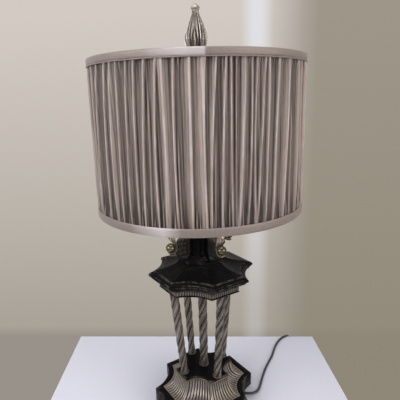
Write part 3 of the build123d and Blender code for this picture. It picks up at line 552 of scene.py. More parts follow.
def leafed(name, light, dark, tint, scale=60.0, metallic=0.72, rough=(0.30, 0.60), bump=0.35):
    """Metal leaf that is bright where it is clean, and dull, rough and a little sunk where it is dirty."""
    material, t, shader = new_material(name)
    vector = t.coordinates()
    leaf = t.place(patina_group(), vector=vector, recess=t.attribute("recess"), light=light, dark=dark,
                   tint=tint, scale=scale)
    height = t.plus(t.noise(vector, scale * 8.0), t.times(leaf["Mask"], -0.6))
    t.fill(shader, {
        "Base Color": leaf["Color"],
        "Metallic": t.times(t.math("SUBTRACT", 1.0, leaf["Mask"]), metallic),
        "Roughness": t.ramp(leaf["Mask"], 0.0, 1.0, *rough),
        "Normal": t.bump(height, bump, 0.0005),
    })
    return material


@cache
def silver_leaf():
    own = bpy.context.scene.lamp_foot
    return leafed("antique silver leaf", own.silver, own.recess, (0.30, 0.255, 0.185), 55.0)


@cache
def bead_leaf():
    own = bpy.context.scene.lamp_foot
    return leafed("bead leaf", toned(own.silver, 0.62), own.recess, (0.26, 0.19, 0.165), 80.0)


@cache
def gilt_line():
    return leafed("gilt line", (0.20, 0.165, 0.095), (0.025, 0.018, 0.012), (0.13, 0.105, 0.065), 120.0)


@cache
def rope_silver():
    own = bpy.context.scene.lamp_column
    return leafed("rope silver", own.silver, own.groove, (0.17, 0.145, 0.115), 70.0, 0.8, (0.22, 0.60))


@cache
def ring_silver():
    return leafed("ring silver", (0.11, 0.095, 0.078), (0.010, 0.007, 0.006), (0.07, 0.058, 0.046), 90.0, 0.6)


@cache
def scroll_silver():
    own = bpy.context.scene.lamp_neck
    return leafed("scroll silver", own.scroll, (0.030, 0.020, 0.013), (0.30, 0.24, 0.13), 75.0, 0.8)


@cache
def ball_gilt():
    own = bpy.context.scene.lamp_neck
    return leafed("ball gilt", own.ball, (0.035, 0.028, 0.016), (0.30, 0.27, 0.17), 45.0, 0.85,
                  (0.12, 0.30), 0.12)


@cache
def leaf_bronze():
    own = bpy.context.scene.lamp_neck
    return leafed("leaf bronze", own.leaf, (0.008, 0.006, 0.005), (0.11, 0.085, 0.06), 150.0, 0.6,
                  (0.35, 0.6), 0.8)


@cache
def finial_silver():
    own = bpy.context.scene.lamp_finial
    return leafed("finial silver", own.silver, (0.010, 0.007, 0.006), (0.30, 0.26, 0.22), 60.0, 0.85,
                  (0.26, 0.55))


def brushed(name, color, rough, metallic=1.0, scale=400.0, bump=0.08):
    """A plain metal with fine marks and cloudy wear."""
    material, t, shader = new_material(name)
    vector = t.coordinates()
    cloud = t.noise(vector, 40.0, 4.0, 0.6)
    t.fill(shader, {
        "Base Color": t.mix(t.ramp(cloud, 0.35, 0.7), color, toned(color, 0.72)),
        "Metallic": metallic,
        "Roughness": t.ramp(cloud, 0.3, 0.7, rough, rough + 0.16),
        "Normal": t.bump(t.noise(vector, scale, 2.0), bump, 0.0003),
    })
    return material


@cache
def antique_brass():
    return brushed("antique brass", bpy.context.scene.lamp_neck.brass, 0.32)


@cache
def polished_brass():
    return brushed("polished brass", (0.68, 0.50, 0.22), 0.20)


@cache
def steel():
    return brushed("zinc-plated steel", (0.50, 0.50, 0.48), 0.34)


@cache
def cast_iron():
    return brushed("cast iron", (0.055, 0.052, 0.050), 0.6, 0.5, 220.0, 0.6)


@cache
def shade_wire():
    return brushed("white-coated wire", (0.66, 0.63, 0.57), 0.38, 0.0, 300.0, 0.15)


def dull(name, color, other, rough, scale=150.0, bump=0.2):
    """A matt material whose colour wanders half way to another one."""
    material, t, shader = new_material(name)
    vector = t.coordinates()
    cloud = t.noise(vector, scale, 4.0, 0.6)
    t.fill(shader, {
        "Base Color": t.mix(t.times(t.ramp(cloud, 0.35, 0.65), 0.5), color, other),
        "Roughness": t.ramp(cloud, 0.3, 0.7, rough - 0.06, rough + 0.08),
        "Normal": t.bump(t.noise(vector, scale * 6.0), bump, 0.0004),
    })
    return material


@cache
def felt():
    return dull("dark felt", (0.020, 0.024, 0.020), (0.045, 0.050, 0.042), 0.92, 500.0, 0.8)


@cache
def insulating_card():
    return dull("insulating card", (0.10, 0.075, 0.05), (0.14, 0.11, 0.08), 0.8)


@cache
def phenolic():
    return dull("phenolic", (0.016, 0.012, 0.010), (0.035, 0.024, 0.018), 0.32, 60.0, 0.1)


@cache
def tie_plastic():
    return dull("tie plastic", (0.012, 0.012, 0.013), (0.028, 0.028, 0.030), 0.42)


@cache
def wire_insulation():
    return dull("wire insulation", (0.30, 0.24, 0.14), (0.24, 0.18, 0.10), 0.5)


@cache
def lining():
    own = bpy.context.scene.lamp_shade
    return dull("shade lining", own.lining, toned(own.lining, 0.9), 0.62, 90.0, 0.25)


@cache
def rubber():
    own = bpy.context.scene.lamp_cord
    material = dull("cord rubber", own.rubber, toned(own.rubber, 2.6), 0.42, 90.0, 0.12)
    material.node_tree.nodes["Principled BSDF"].inputs["Sheen Weight"].default_value = 0.15
    return material


@cache
def bulb_glass():
    material, t, shader = new_material("frosted bulb glass")
    cloud = t.noise(t.coordinates(), 25.0, 2.0)
    t.fill(shader, {
        "Base Color": t.mix(cloud, (0.82, 0.80, 0.75), (0.90, 0.88, 0.84)),
        "Roughness": t.ramp(cloud, 0.3, 0.7, 0.22, 0.30),
        "Subsurface Weight": 0.25,
        "Subsurface Radius": (0.01, 0.009, 0.008),
    })
    return material


def satin(name, color, folded):
    """Satin with a fine weave and slubs. Gathered, it has a painted highlight on the crests of its folds and
    painted shade deep in them. On a band, a lighter sheen is painted over the lapped end."""
    own = bpy.context.scene.lamp_shade
    material, t, shader = new_material(name)
    threads = {"around": 1500.0, "along": 520.0 if folded else 40.0}
    weave = t.place(weave_group(), vector=t.coordinates("UV"), **threads)
    vector = t.coordinates()
    base = t.mix(t.ramp(t.noise(vector, 7.0, 2.0), 0.35, 0.65), color, toned(color, 1.0, 0.97, 1.02))
    slub = t.ramp(weave["Slub"], 0.35, 0.65, 0.90, 1.07)
    grey = t.add("ShaderNodeCombineXYZ", {0: slub, 1: slub, 2: slub}).outputs[0]
    base = t.mix(1.0, base, grey, "MULTIPLY")
    if folded:
        # Painted highlight on the folds' crests, cool or warm in patches
        sheen = t.mix(t.ramp(t.noise(vector, 9.0, 2.0), 0.46, 0.60), own.crest, own.cool_crest)
        lit = t.ramp(t.noise(vector, 16.0), 0.32, 0.60, 0.25, 1.0)
        base = t.mix(t.times(t.attribute("crest"), slub, lit), base, sheen)
        # Painted shade deep in the folds
        base = t.mix(t.attribute("fold"), base, own.fold_shade)
    else:
        # Painted sheen over the bands' lapped end
        base = t.mix(t.attribute("painted_lap_sheen"), base, own.painted_lap_sheen)
    t.fill(shader, {
        "Base Color": base,
        "Roughness": t.ramp(weave["Slub"], 0.3, 0.7, 0.34, 0.46),
        "Normal": t.bump(weave["Height"], 0.35, 0.00035),
        "Metallic": 0.28,
        "Sheen Weight": 0.18,
        "Sheen Roughness": 0.45,
        "Sheen Tint": (0.88, 0.84, 0.86),
    })
    return material


@cache
def gathered_satin():
    return satin("gathered satin", bpy.context.scene.lamp_shade.cloth, True)


@cache
def band_satin():
    return satin("band satin", bpy.context.scene.lamp_shade.band, False)


# ---------------------------------------------------------------- stage, in metres

CAMERA_AT = (0.1483, -0.6976, 0.5792)
CAMERA_PITCH = 13.89
CAMERA_ROLL = -1.43
CAMERA_LENS = 36.9
CAMERA_SENSOR = 36.0

# Table top: its two back corners, and a point further along each of the edges that come forward
TABLE_BACK = np.array([(-0.3488, 0.1473), (0.2239, 0.2425)])
TABLE_SIDES = np.array([(-0.3023, -0.0653), (0.2774, 0.0364)])
TABLE_REACH = 4.0
FLOOR_HALF = 3.0
FLOOR_DROP = 0.0008
WALL_REACH = 2.2
WALL_H = 1.8

# Bands of light on the wall: where a darker one starts and is full, along the table's back edge, how
# strong it is and what it leaves of the wall's three channels
WALL_SHADES = [
    (0.135, 0.21, 0.58, (0.42, 0.40, 0.36)),
    (0.205, 0.245, 0.5, (0.40, 0.38, 0.28)),
]
# A painted streak of light: where it lies along the table's back edge, its core, soft edge and colour
STREAK_AT = 0.118
STREAK_CORE, STREAK_EDGE = 0.008, 0.034
STREAK_COLOR = (0.76, 0.77, 0.82)

# Light: daylight from all round, and soft lights with their place, aim, width and height, watts and colour
DAYLIGHT_COLOR = (0.97, 0.96, 1.0, 1.0)
LIGHTS = {
    "window": ((-1.1, -1.3, 1.25), (0, 0, 0.35), (1.1, 1.3), 22.0, (1.0, 0.985, 1.0)),
    "ceiling": ((0.2, -0.2, 2.0), (0, 0, 0.2), (1.4, 1.4), 11.0, (1.0, 0.97, 0.93)),
    "side glow": ((1.4, -0.6, 0.8), (0, 0, 0.4), (0.8, 1.2), 10.0, (1.0, 0.96, 0.92)),
}


def make_camera():
    """Level heading to the lamp's axis, pitched down and rolled a little, as the photograph has it."""
    data = bpy.data.cameras.new("camera")
    data.lens = CAMERA_LENS
    data.sensor_width = CAMERA_SENSOR
    camera = add_object("camera", data)
    pitch, roll = math.radians(CAMERA_PITCH), math.radians(CAMERA_ROLL)
    level = Vector((-CAMERA_AT[0], -CAMERA_AT[1], 0)).normalized()
    ahead = level * math.cos(pitch) + Vector((0, 0, -math.sin(pitch)))
    right = ahead.cross(Vector((0, 0, 1))).normalized()
    up = right.cross(ahead)
    side = right * math.cos(roll) + up * math.sin(roll)
    top = up * math.cos(roll) - right * math.sin(roll)
    turn = Matrix((side, top, -ahead)).transposed().to_4x4()
    camera.matrix_world = Matrix.Translation(CAMERA_AT) @ turn
    bpy.context.scene.camera = camera


def make_lights():
    """The soft lights, and daylight from all round."""
    for name, (at, aim, wide, watts, color) in LIGHTS.items():
        data = bpy.data.lights.new(name, "AREA")
        data.shape = "RECTANGLE"
        data.size, data.size_y = wide
        data.energy = watts
        data.color = color
        light = add_object(name, data)
        light.location = at
        light.rotation_euler = (Vector(aim) - Vector(at)).to_track_quat("-Z", "Y").to_euler()
    scene = bpy.context.scene
    scene.world = bpy.data.worlds.new("soft room light")
    scene.world.use_nodes = True
    background = scene.world.node_tree.nodes["Background"]
    background.inputs["Color"].default_value = DAYLIGHT_COLOR
    background.inputs["Strength"].default_value = scene.lamp_stage.daylight


def wall_material(name, one_sided):
    """A plain wall that glows for the camera and for reflections, in soft upright bands of light. To all
    other light it is matt or, one-sided, clear, and then it is clear from behind as well."""
    own = bpy.context.scene.lamp_stage
    material, t, shader = new_material(name)
    t.nodes.remove(shader)
    x, y, z = t.axes(t.coordinates())
    edge = TABLE_BACK[1] - TABLE_BACK[0]
    run = [float(step) for step in edge / np.linalg.norm(edge)]
    along = t.plus(t.times(x, run[0]), t.times(y, run[1]))
    # The wall is darker towards the bottom, a painted shade, and darker still just above the table top
    color = t.mix(t.ramp(z, 0.05, 0.75), toned(own.wall, 0.62, 0.62, 0.58), own.wall)
    color = t.mix(t.ramp(z, 0.0, 0.03, 0.5, 0.0), color, toned(own.wall, 0.35))
    for start, full, strength, left in WALL_SHADES:
        color = t.mix(t.times(t.ramp(along, start, full), strength), color, toned(own.wall, *left))
    # The painted streak of light, fainter towards the bottom
    off = t.math("ABSOLUTE", t.math("SUBTRACT", along, STREAK_AT))
    streak = t.ramp(off, STREAK_CORE, STREAK_EDGE, 1.0, 0.0)
    streak = t.times(streak, t.ramp(z, 0.1, 0.6, 0.25, 1.0), 0.85)
    color = t.mix(streak, color, STREAK_COLOR)
    glow = t.add("ShaderNodeEmission", {"Color": color, "Strength": 1.0})
    path = t.add("ShaderNodeLightPath").outputs
    seen = t.math("MAXIMUM", path["Is Camera Ray"], path["Is Glossy Ray"])
    seen = t.math("MAXIMUM", seen, path["Is Transmission Ray"])
    if one_sided:
        back_side = t.add("ShaderNodeNewGeometry").outputs["Backfacing"]
        seen = t.times(seen, t.math("SUBTRACT", 1.0, back_side))
        other = t.add("ShaderNodeBsdfTransparent")
    else:
        other = t.add("ShaderNodeBsdfDiffuse", {"Color": own.wall})
    surface = t.add("ShaderNodeMixShader", {0: seen, 1: other.outputs[0], 2: glow.outputs[0]})
    t.fill(t.nodes["Material Output"], {"Surface": surface.outputs[0]})
    return material


def table_material():
    """A satin white table top that is a little brighter near its left front."""
    own = bpy.context.scene.lamp_stage
    material, t, shader = new_material("table top")
    x, y, _ = t.axes(t.coordinates())
    t.fill(shader, {
        "Base Color": t.mix(t.ramp(t.plus(x, y), -0.5, 0.6), own.table, toned(own.table, 0.84)),
        "Roughness": 0.38,
        "Specular IOR Level": 0.35,
    })
    return material


class LAMP_OT_stage(bpy.types.Operator):
    """Makes the camera, the table top, the wall and the light"""
    bl_idname = "lamp.stage"
    bl_label = "Stage"

    def execute(self, context):
        context.scene.view_settings.view_transform = "Standard"
        make_camera()
        make_lights()
        left, right = blend(TABLE_BACK, TABLE_SIDES, TABLE_REACH)
        corners = [(*place, 0) for place in (left, right, TABLE_BACK[1], TABLE_BACK[0])]
        table = flat_piece("table_top", corners, table_material())
        signs = ((-1, -1), (1, -1), (1, 1), (-1, 1))
        corners = [(x * FLOOR_HALF, y * FLOOR_HALF, -FLOOR_DROP) for x, y in signs]
        floor = flat_piece("floor_round_table", corners, wall_material("wall colour on the floor", False))
        first, last = (blend(*TABLE_BACK, share) for share in (-WALL_REACH, 1 + WALL_REACH))
        corners = [(*first, 0), (*last, 0), (*last, WALL_H), (*first, WALL_H)]
        wall = flat_piece("wall", corners, wall_material("wall colour", True))
        return {"FINISHED"}


# ---------------------------------------------------------------- cord

CORD_EXIT = (77.63, 4.0, 7.5)
CORD_ROUTE = [
    (86.5, 4.0, 7.5),
    (94.9, 7.1, 7.0),
    (101.6, 13.1, 5.9),
    (105.8, 21.7, 4.5),
    (108.1, 33.4, 3.2),
    (109.7, 48.3, 2.5),
    (112.0, 67.0, 2.5),
    (115.2, 89.0, 2.5),
    (121.3, 115.0, 2.5),
    (128.4, 140.0, 2.5),
    (131.6, 160.0, 2.5),
    (134.8, 182.0, 2.5),
    (143.0, 208.0, 2.5),
    (150.5, 221.5, 2.5),
    (160.0, 231.5, 2.5),
    (173.0, 239.5, 2.5),
    (188.0, 243.5, 2.6),
]
COIL_CENTRE = (200.7, 290.8, 3.4)
COIL_PITCH = 5.6
COIL_OUTER_R = 41.2
COIL_TURNS = 3.5
COIL_START_ANGLE = -62.0
COIL_LEAD_IN = 14.0
COIL_FIRST_RUN = 5.0
HALF_TURN_POINTS = 12
PLUG_TAIL = 25.0

# Plug: its size, its radii at the cord's end, how much of its size the face keeps, the power that makes
# it square, how far on it is as wide as it gets, and its grip grooves
PLUG_L = 30.0
PLUG_W = 24.0
PLUG_NECK_R = 4.6
PLUG_TIP_R = 3.68
PLUG_FACE_SHARE = 0.94
PLUG_SQUARENESS = 0.45
PLUG_SWELL_L = 13.5
GRIP_END = 22.5
GRIP_PITCH = 2.0
GRIP_DEPTH = 0.6
PLUG_CLEARANCE = 0.1

# Strain relief: how far it goes into the slab and stands out, and its rings
RELIEF_IN, RELIEF_OUT = 15.0, 5.0
RELIEF_R, RELIEF_TIP_R, RELIEF_LIP_R = 3.7, 3.1, 2.55
RELIEF_RINGS, RING_DEPTH = 9, 0.30


def coil_points():
    """The coil's turns: half circles that shrink by half a pitch each on the lower layer, climb, and grow
    again on the upper one. Each half circle's points are its middle plus a turned radius. Gives the start
    and the way it faces, the points, and the end and the way that faces."""
    out = np.append(towards(COIL_START_ANGLE), 0)
    along = np.array([-out[1], out[0], 0])
    point = np.array(COIL_CENTRE) + out * COIL_OUTER_R
    start = point - along * COIL_FIRST_RUN
    radius = COIL_OUTER_R
    climb = round(2 * COIL_TURNS)
    share = np.linspace(0, 1, HALF_TURN_POINTS, endpoint=False)[:, None]
    turn = np.pi * share
    turns = []
    for half, step in enumerate([-1] * (climb + 1) + [2] + [1] * (climb - 1)):
        side = np.array([-out[1], out[0], 0])
        reach = radius + step * COIL_PITCH / 4
        lift = np.array([0, 0, COIL_PITCH if half == climb else 0.0])
        middle = point - out * reach + lift * share
        turns.append(middle + out * reach * np.cos(turn) + side * reach * np.sin(turn))
        point = point - out * 2 * reach + lift
        radius += step * COIL_PITCH / 2
        out = -out
    heading = np.array([-out[1], out[0], 0])
    tail = point + heading * PLUG_TAIL
    return start, along, np.concatenate([*turns, [point, tail]]), tail, heading


def make_plug(tail, heading):
    """The moulded plug: a rounded square that swells from the cord to the face, with grip grooves."""
    grip_rows = np.arange(PLUG_SWELL_L, GRIP_END + 0.5)
    x = np.concatenate([[-6, -3, 0, 2, 5, 8, 10, 12], grip_rows, [24, 26, 28.5, PLUG_L - 0.6, PLUG_L]])
    swell = soft_step(np.clip(x / PLUG_SWELL_L, 0, 1))
    half_high = tail[2] - PLUG_CLEARANCE
    wide = np.where(x < 0, PLUG_TIP_R, blend(PLUG_NECK_R, PLUG_W / 2, swell))
    high = np.where(x < 0, PLUG_TIP_R, blend(PLUG_NECK_R, half_high, swell))
    groove = GRIP_DEPTH * 0.5 * (1 - np.cos(FULL * (x - PLUG_SWELL_L) / GRIP_PITCH))
    groove = np.where((x >= PLUG_SWELL_L) & (x <= GRIP_END), groove, 0.0)
    face = np.where(x == PLUG_L, PLUG_FACE_SHARE, 1.0)
    c, s = superellipse(full_turn(48), np.where(x < 1, 1.0, PLUG_SQUARENESS)[:, None])
    across = (wide * face - groove)[:, None] * c
    upward = np.minimum(high * face, half_high)[:, None] * s
    side = np.array([-heading[1], heading[0], 0])
    points = tail + heading * x[:, None, None] + side * across[..., None]
    return grid_piece("plug", points + np.array([0, 0, 1]) * upward[..., None], smooth=40)


def make_relief():
    """The tapered rubber sleeve: a cosine of rings where it stands out, thinner towards the tip."""
    share = np.linspace(0, 1, 61)
    x = CORD_EXIT[0] + blend(-RELIEF_IN, RELIEF_OUT, share)
    rings = RING_DEPTH * (0.5 + 0.5 * np.cos(FULL * share * RELIEF_RINGS)) * (x > CORD_EXIT[0] - 0.5)
    radius = blend(RELIEF_R, RELIEF_TIP_R, share) - rings
    radius[-1] = RELIEF_LIP_R
    y, z, x = np.moveaxis(around(radius[:, None], full_turn(32), x[:, None], CORD_EXIT[1:]), -1, 0)
    return grid_piece("strain_relief_sleeve", np.stack([x, y, z], -1))


class LAMP_OT_cord(bpy.types.Operator):
    """Makes the cord with its strain relief, coil and plug"""
    bl_idname = "lamp.cord"
    bl_label = "Cord"

    def execute(self, context):
        diameter = context.scene.lamp_cord.diameter
        start, along, turns, tail, heading = coil_points()
        lead = [CORD_EXIT, *CORD_ROUTE, tuple(start - along * COIL_LEAD_IN), tuple(start)]
        points = np.concatenate([np.array(lead), turns]) * MM
        data = bpy.data.curves.new("cord", "CURVE")
        data.dimensions = "3D"
        data.bevel_depth = diameter / 2
        data.bevel_resolution = 5
        data.use_fill_caps = True
        data.resolution_u = 6
        spline = data.splines.new("NURBS")
        spline.points.add(len(points) - 1)
        spline.points.foreach_set("co", np.concatenate([points, np.ones((len(points), 1))], 1).ravel())
        spline.order_u = 3
        spline.use_endpoint_u = True
        cord = finish_piece(add_object("cord", data), rubber, "cord_rubber", "cord_lead", "cord_coil")
        plug = finish_piece(make_plug(tail, heading), rubber, "cord_rubber", "plug_body")
        relief = finish_piece(make_relief(), rubber, "cord_rubber", "strain_relief")
        return {"FINISHED"}


# ---------------------------------------------------------------- foot

# Mouldings, here and below: radius, hollow, height and 1 where the row is a sharp edge
SLAB = [
    (97.4, 12.8, 2.5, 0), (98.4, 12.8, 3.5, 1), (98.4, 12.8, 28.9, 1), (97.3, 12.8, 30.0, 1),
    (84.0, 11.0, 30.0, 0),
]
PLATFORM = [
    (55.8, 12.6, 60.5, 0), (56.2, 12.6, 60.9, 1), (56.2, 12.6, 66.2, 1), (55.2, 12.6, 67.3, 1),
    (50.0, 11.5, 67.3, 0),
]

# Skirt: radius, hollow and height at its foot and top, its bore, the plain lip under it, how much of its
# height the reeds' tips take at the foot and the top, its corners, and its rows and steps across a reed
SKIRT_FOOT = (82.6, 10.5, 30.0)
SKIRT_TOP = (57.2, 12.6, 60.5)
SKIRT_BORE = 37.1
SKIRT_LIP = 1.0
REED_TIPS = (0.06, 0.03)
REED_CORNER = {"corner_width": 0.6, "rounding": 0.25}
SKIRT_ROWS = 44
REED_STEPS = 8

# Collar round the platform: radius, hollow and height of its middle, half its height, how far it stands
# out, and where it ends behind
COLLAR = (56.1, 12.6, 62.0)
COLLAR_HALF, COLLAR_OUT = 1.5, 1.1
COLLAR_BACK_R = 55.4
COLLAR_CORNER_W = 0.8


def make_skirt(own):
    """The skirt: the plan carried up a quarter ellipse, pushed in along its normal by one minus a half
    circle across each reed, less at the foot and the top, where the reeds end in round tips."""
    t = np.linspace(0, 1, SKIRT_ROWS)
    angle = np.radians(90 * (1 - t))
    lip_top = SKIRT_FOOT[2] + SKIRT_LIP
    radius, hollow = (blend(SKIRT_TOP[k], SKIRT_FOOT[k], 1 - np.cos(angle)) for k in (0, 1))
    height = blend(SKIRT_TOP[2], lip_top, np.sin(angle))
    side_steps = (own.hollow_reeds * REED_STEPS, own.flat_reeds * REED_STEPS)
    outside, _ = plan_rows(radius, hollow, height, side_steps, **REED_CORNER)
    across = np.tile(np.arange(sum(side_steps)) / REED_STEPS % 1, 4)
    crest = half_round(across)
    ends = np.minimum(ease(t, 0, REED_TIPS[0]), ease(t, 1, 1 - REED_TIPS[1]))[:, None] ** 0.5
    depth = own.reed_depth / MM * (1 - crest) * ends
    outside = outside - grid_normals(outside) * depth[..., None]
    outside[..., 2] = np.clip(outside[..., 2], lip_top, SKIRT_TOP[2])
    recess = np.clip((1 - crest) ** 0.6 * 1.75 - 0.10, 0, 1) * ends
    lip = [SKIRT_FOOT[2], SKIRT_FOOT[2] + SKIRT_LIP * 0.8]
    foot, _ = plan_rows(*SKIRT_FOOT[:2], lip, side_steps, **REED_CORNER)
    bore = outside[-1:] * np.array([1, 1, 0])
    bore = bore / np.linalg.norm(bore, axis=-1, keepdims=True) * SKIRT_BORE
    low, high = (bore + np.array([0, 0, end[2]]) for end in (SKIRT_FOOT, SKIRT_TOP))
    points = np.concatenate([low, foot, outside, high])
    recess = np.pad(recess, ((3, 1), (0, 0)))
    return grid_piece("carved_skirt", points, loop_rows=True, values={"recess": recess}, smooth=75)


def make_collar():
    """The thin collar round the platform: a half-round bead carried round the plan."""
    angle = np.radians(np.linspace(-90, 90, 9))
    radius, hollow, height = COLLAR
    outside, _ = plan_rows(radius + COLLAR_OUT * np.cos(angle), hollow, height + COLLAR_HALF * np.sin(angle),
                           corner_width=COLLAR_CORNER_W)
    ends = [height + COLLAR_HALF, height - COLLAR_HALF]
    inside, _ = plan_rows(COLLAR_BACK_R, hollow, ends, corner_width=COLLAR_CORNER_W)
    recess = np.concatenate([np.abs(np.sin(angle)) ** 3 * 0.7, [1.0, 1.0]])[:, None]
    return grid_piece("platform_gilt_line", np.concatenate([outside, inside]), loop_rows=True,
                      values={"recess": recess})


class LAMP_OT_foot(bpy.types.Operator):
    """Makes the slab, the carved skirt and the platform with its collar"""
    bl_idname = "lamp.foot"
    bl_label = "Foot"

    def execute(self, context):
        finish_piece(tier_piece("lacquered_slab", SLAB, SLAB_STEPS), lacquer, "black_lacquer", "base_slab")
        finish_piece(tier_piece("lacquered_platform", PLATFORM), lacquer, "black_lacquer", "platform")
        skirt = make_skirt(context.scene.lamp_foot)
        finish_piece(skirt, silver_leaf, "antique_silver_leaf", "fluted_skirt")
        finish_piece(make_collar(), gilt_line, "gilt_line", "platform_trim")
        return {"FINISHED"}


# ---------------------------------------------------------------- columns

COLUMN_LOW, COLUMN_HIGH = 67.3, 244.5
FOOT_CIRCLE_R, TOP_CIRCLE_R = 44.9, 61.7
DIAGONALS = {"front_right": -45, "back_right": 45, "back_left": 135, "front_left": -135}

# Radii at the foot and the top of a leaning column and of the middle one
LEANING_R, MIDDLE_R = (7.3, 8.5), (8.3, 9.0)
ROPE_ROWS, STRAND_STEPS = 150, 26
FINE_RIDGES, FINE_DEPTH = 3, 0.42

# Foot rings: bore and outer radius of a leaning column's and of the middle one's, and their height
LEANING_RING, MIDDLE_RING = (6.6, 8.9), (7.6, 9.9)
RING_H = 3.0


def make_rope(name, own, foot, top, radii, phase):
    """A rope column: level circles along a leaning line, whose radius falls into a groove between
    strands that climb round it, with finer ridges on each strand. Two slow sines make the strands
    uneven."""
    t = np.linspace(0, 1, ROPE_ROWS)[:, None]
    angle = full_turn(own.strands * STRAND_STEPS)
    twist = FULL * t * (COLUMN_HIGH - COLUMN_LOW) * MM / own.pitch + phase
    uneven = 0.16 * np.sin(2 * (angle - twist) + 1.7 * phase) + 0.10 * np.sin(FULL * (2.3 * t + 0.31 * phase))
    strand = ((angle - twist) * own.strands / FULL + uneven) % 1
    crest = half_round(strand)
    fine = 0.5 + 0.5 * np.cos(FULL * FINE_RIDGES * strand)
    depth = own.strand_depth / MM * (1 - crest) + FINE_DEPTH * fine * crest
    centre = [blend(foot[k], top[k], t) for k in (0, 1)]
    points = around(blend(*radii, t) - depth, angle, blend(COLUMN_LOW, COLUMN_HIGH, t), centre)
    recess = np.clip((1 - crest) ** 0.6 * 1.6 + 0.5 * fine - 0.16, 0, 1)
    return grid_piece(name, points, values={"recess": recess}, smooth=75)


def make_ring(name, radii, centre):
    """A collar round a column's foot: a bulging half ellipse over a straight bore, turned."""
    bore, outer = radii
    angle = np.radians(np.linspace(-90, 90, 9))
    half = RING_H / 2
    radius = np.append(outer - half * 0.5 * (1 - np.cos(angle)), [bore, bore])
    height = COLUMN_LOW + half + half * np.append(np.sin(angle), [1, -1])
    return grid_piece(name, around(radius[:, None], full_turn(48), height[:, None], centre), loop_rows=True)


class LAMP_OT_columns(bpy.types.Operator):
    """Makes the four leaning rope columns, the middle one and their foot rings"""
    bl_idname = "lamp.columns"
    bl_label = "Rope columns"

    def execute(self, context):
        own = context.scene.lamp_column
        columns = [(name, f"rope_column_{name}", towards(degrees), LEANING_R, LEANING_RING, 0.9 * n)
                   for n, (name, degrees) in enumerate(DIAGONALS.items())]
        columns.append(("middle", "centre_column", np.zeros(2), MIDDLE_R, MIDDLE_RING, 0.4))
        for name, node, out, radii, ring_radii, phase in columns:
            foot = out * FOOT_CIRCLE_R
            rope = make_rope(f"rope_{name}", own, foot, out * TOP_CIRCLE_R, radii, phase)
            finish_piece(rope, rope_silver, "rope_silver", node)
            ring = make_ring(f"foot_ring_{name}", ring_radii, foot)
            finish_piece(ring, ring_silver, "rope_silver", "column_foot_rings")
        return {"FINISHED"}


# ---------------------------------------------------------------- head

APRON = [
    (79.8, 9, 244.5, 0), (81.0, 9, 244.9, 1), (81.0, 9, 246.0, 1), (77.9, 9, 246.1, 0), (77.9, 9, 256.4, 0),
    (78.4, 9, 256.6, 1), (78.4, 9, 257.0, 0),
]
PLATE = [
    (82.6, 10, 257.0, 0), (84.4, 10, 257.8, 1), (85.0, 10, 259.0, 1), (88.0, 10, 260.2, 0),
    (93.0, 10, 262.0, 1), (94.2, 10, 263.4, 1), (94.6, 10, 265.2, 0), (96.4, 10, 266.4, 0),
    (99.2, 10, 267.4, 1), (100.0, 10, 268.7, 1), (100.0, 10, 270.2, 1), (99.2, 10, 271.4, 0),
    (97.6, 10, 273.0, 1), (95.2, 10, 273.8, 0), (92.0, 10, 275.0, 0), (90.2, 10, 275.8, 1),
    (89.0, 10, 276.2, 1), (88.0, 10, 277.0, 1), (82.0, 9, 277.0, 0),
]

# Roof: radius, hollow and height at its foot and top
FLARE_FOOT = np.array((86.5, 10.0, 277.0))
FLARE_TOP = np.array((44.5, 4.5, 292.0))
FLARE_POWER = 1.9

# Bead band: radius and hollow of its ground, radius of its back, its ends, its rows and steps across a
# bead, how many widths a bead leans at most from its foot to its tip near a side's end, and its corners
BEAD_R, BEAD_HOLLOW = 78.5, 9.0
BEAD_BACK_R = 76.0
BEAD_LOW, BEAD_HIGH = 246.2, 256.5
BEAD_ROWS, BEAD_STEPS = 13, 6
BEAD_LEAN = 0.55
BEAD_CORNER = {"corner_width": 0.8, "rounding": 0.2}


def make_flare():
    """The head's roof: the plan carried up while its radius falls as a power of the height left."""
    t = np.linspace(0, 1, 26)
    radius, hollow, _ = blend(FLARE_TOP, FLARE_FOOT, (1 - t[:, None]) ** FLARE_POWER).T
    height = blend(FLARE_FOOT[2], FLARE_TOP[2], t)
    points, worn = plan_rows(radius, hollow, height, corner_width=1.1, rounding=0.35)
    wear = worn * (0.10 + 0.3 * (1 - t) ** 6)[:, None]
    return grid_piece("lacquered_flare", points, values={"wear": wear})


def make_beads(own):
    """The bead band: upright half-round beads with rounded ends, leaning over towards the ends of each
    side, pushed out along the normal by a half circle across times a rounded end up and down."""
    lengths = [2 * BEAD_R * math.sin(half) for half in (CORNER, math.pi / 4 - CORNER)]
    counts = [round(length / (own.bead_pitch / MM)) for length in lengths]
    side_steps = [number * BEAD_STEPS for number in counts]
    v = np.linspace(0, 1, BEAD_ROWS)[:, None]
    ground, _ = plan_rows(BEAD_R, BEAD_HOLLOW, blend(BEAD_LOW, BEAD_HIGH, v), side_steps, **BEAD_CORNER)
    across = np.tile(np.arange(sum(side_steps)) / BEAD_STEPS, 4)
    place = np.tile(np.concatenate([2 * np.arange(n) / n - 1 for n in side_steps]), 4)
    lean = BEAD_LEAN * place * (v - 0.5) * np.clip(6.4 * (1 - np.abs(place)), 0, 1)
    crest = half_round((across + lean) % 1)
    tips = np.sqrt(np.clip(1 - np.abs(2 * v - 1) ** 3, 0, 1))
    outside = ground + grid_normals(ground) * (own.bead_depth / MM * crest * tips)[..., None]
    inside, _ = plan_rows(BEAD_BACK_R, BEAD_HOLLOW, [BEAD_HIGH, BEAD_LOW], side_steps, **BEAD_CORNER)
    recess = np.clip(1.30 - 1.45 * (crest * tips) ** 4, 0, 1)
    recess = np.pad(recess, ((0, 2), (0, 0)), constant_values=1)
    return grid_piece("bead_band", np.concatenate([outside, inside]), loop_rows=True,
                      values={"recess": recess}, smooth=75)


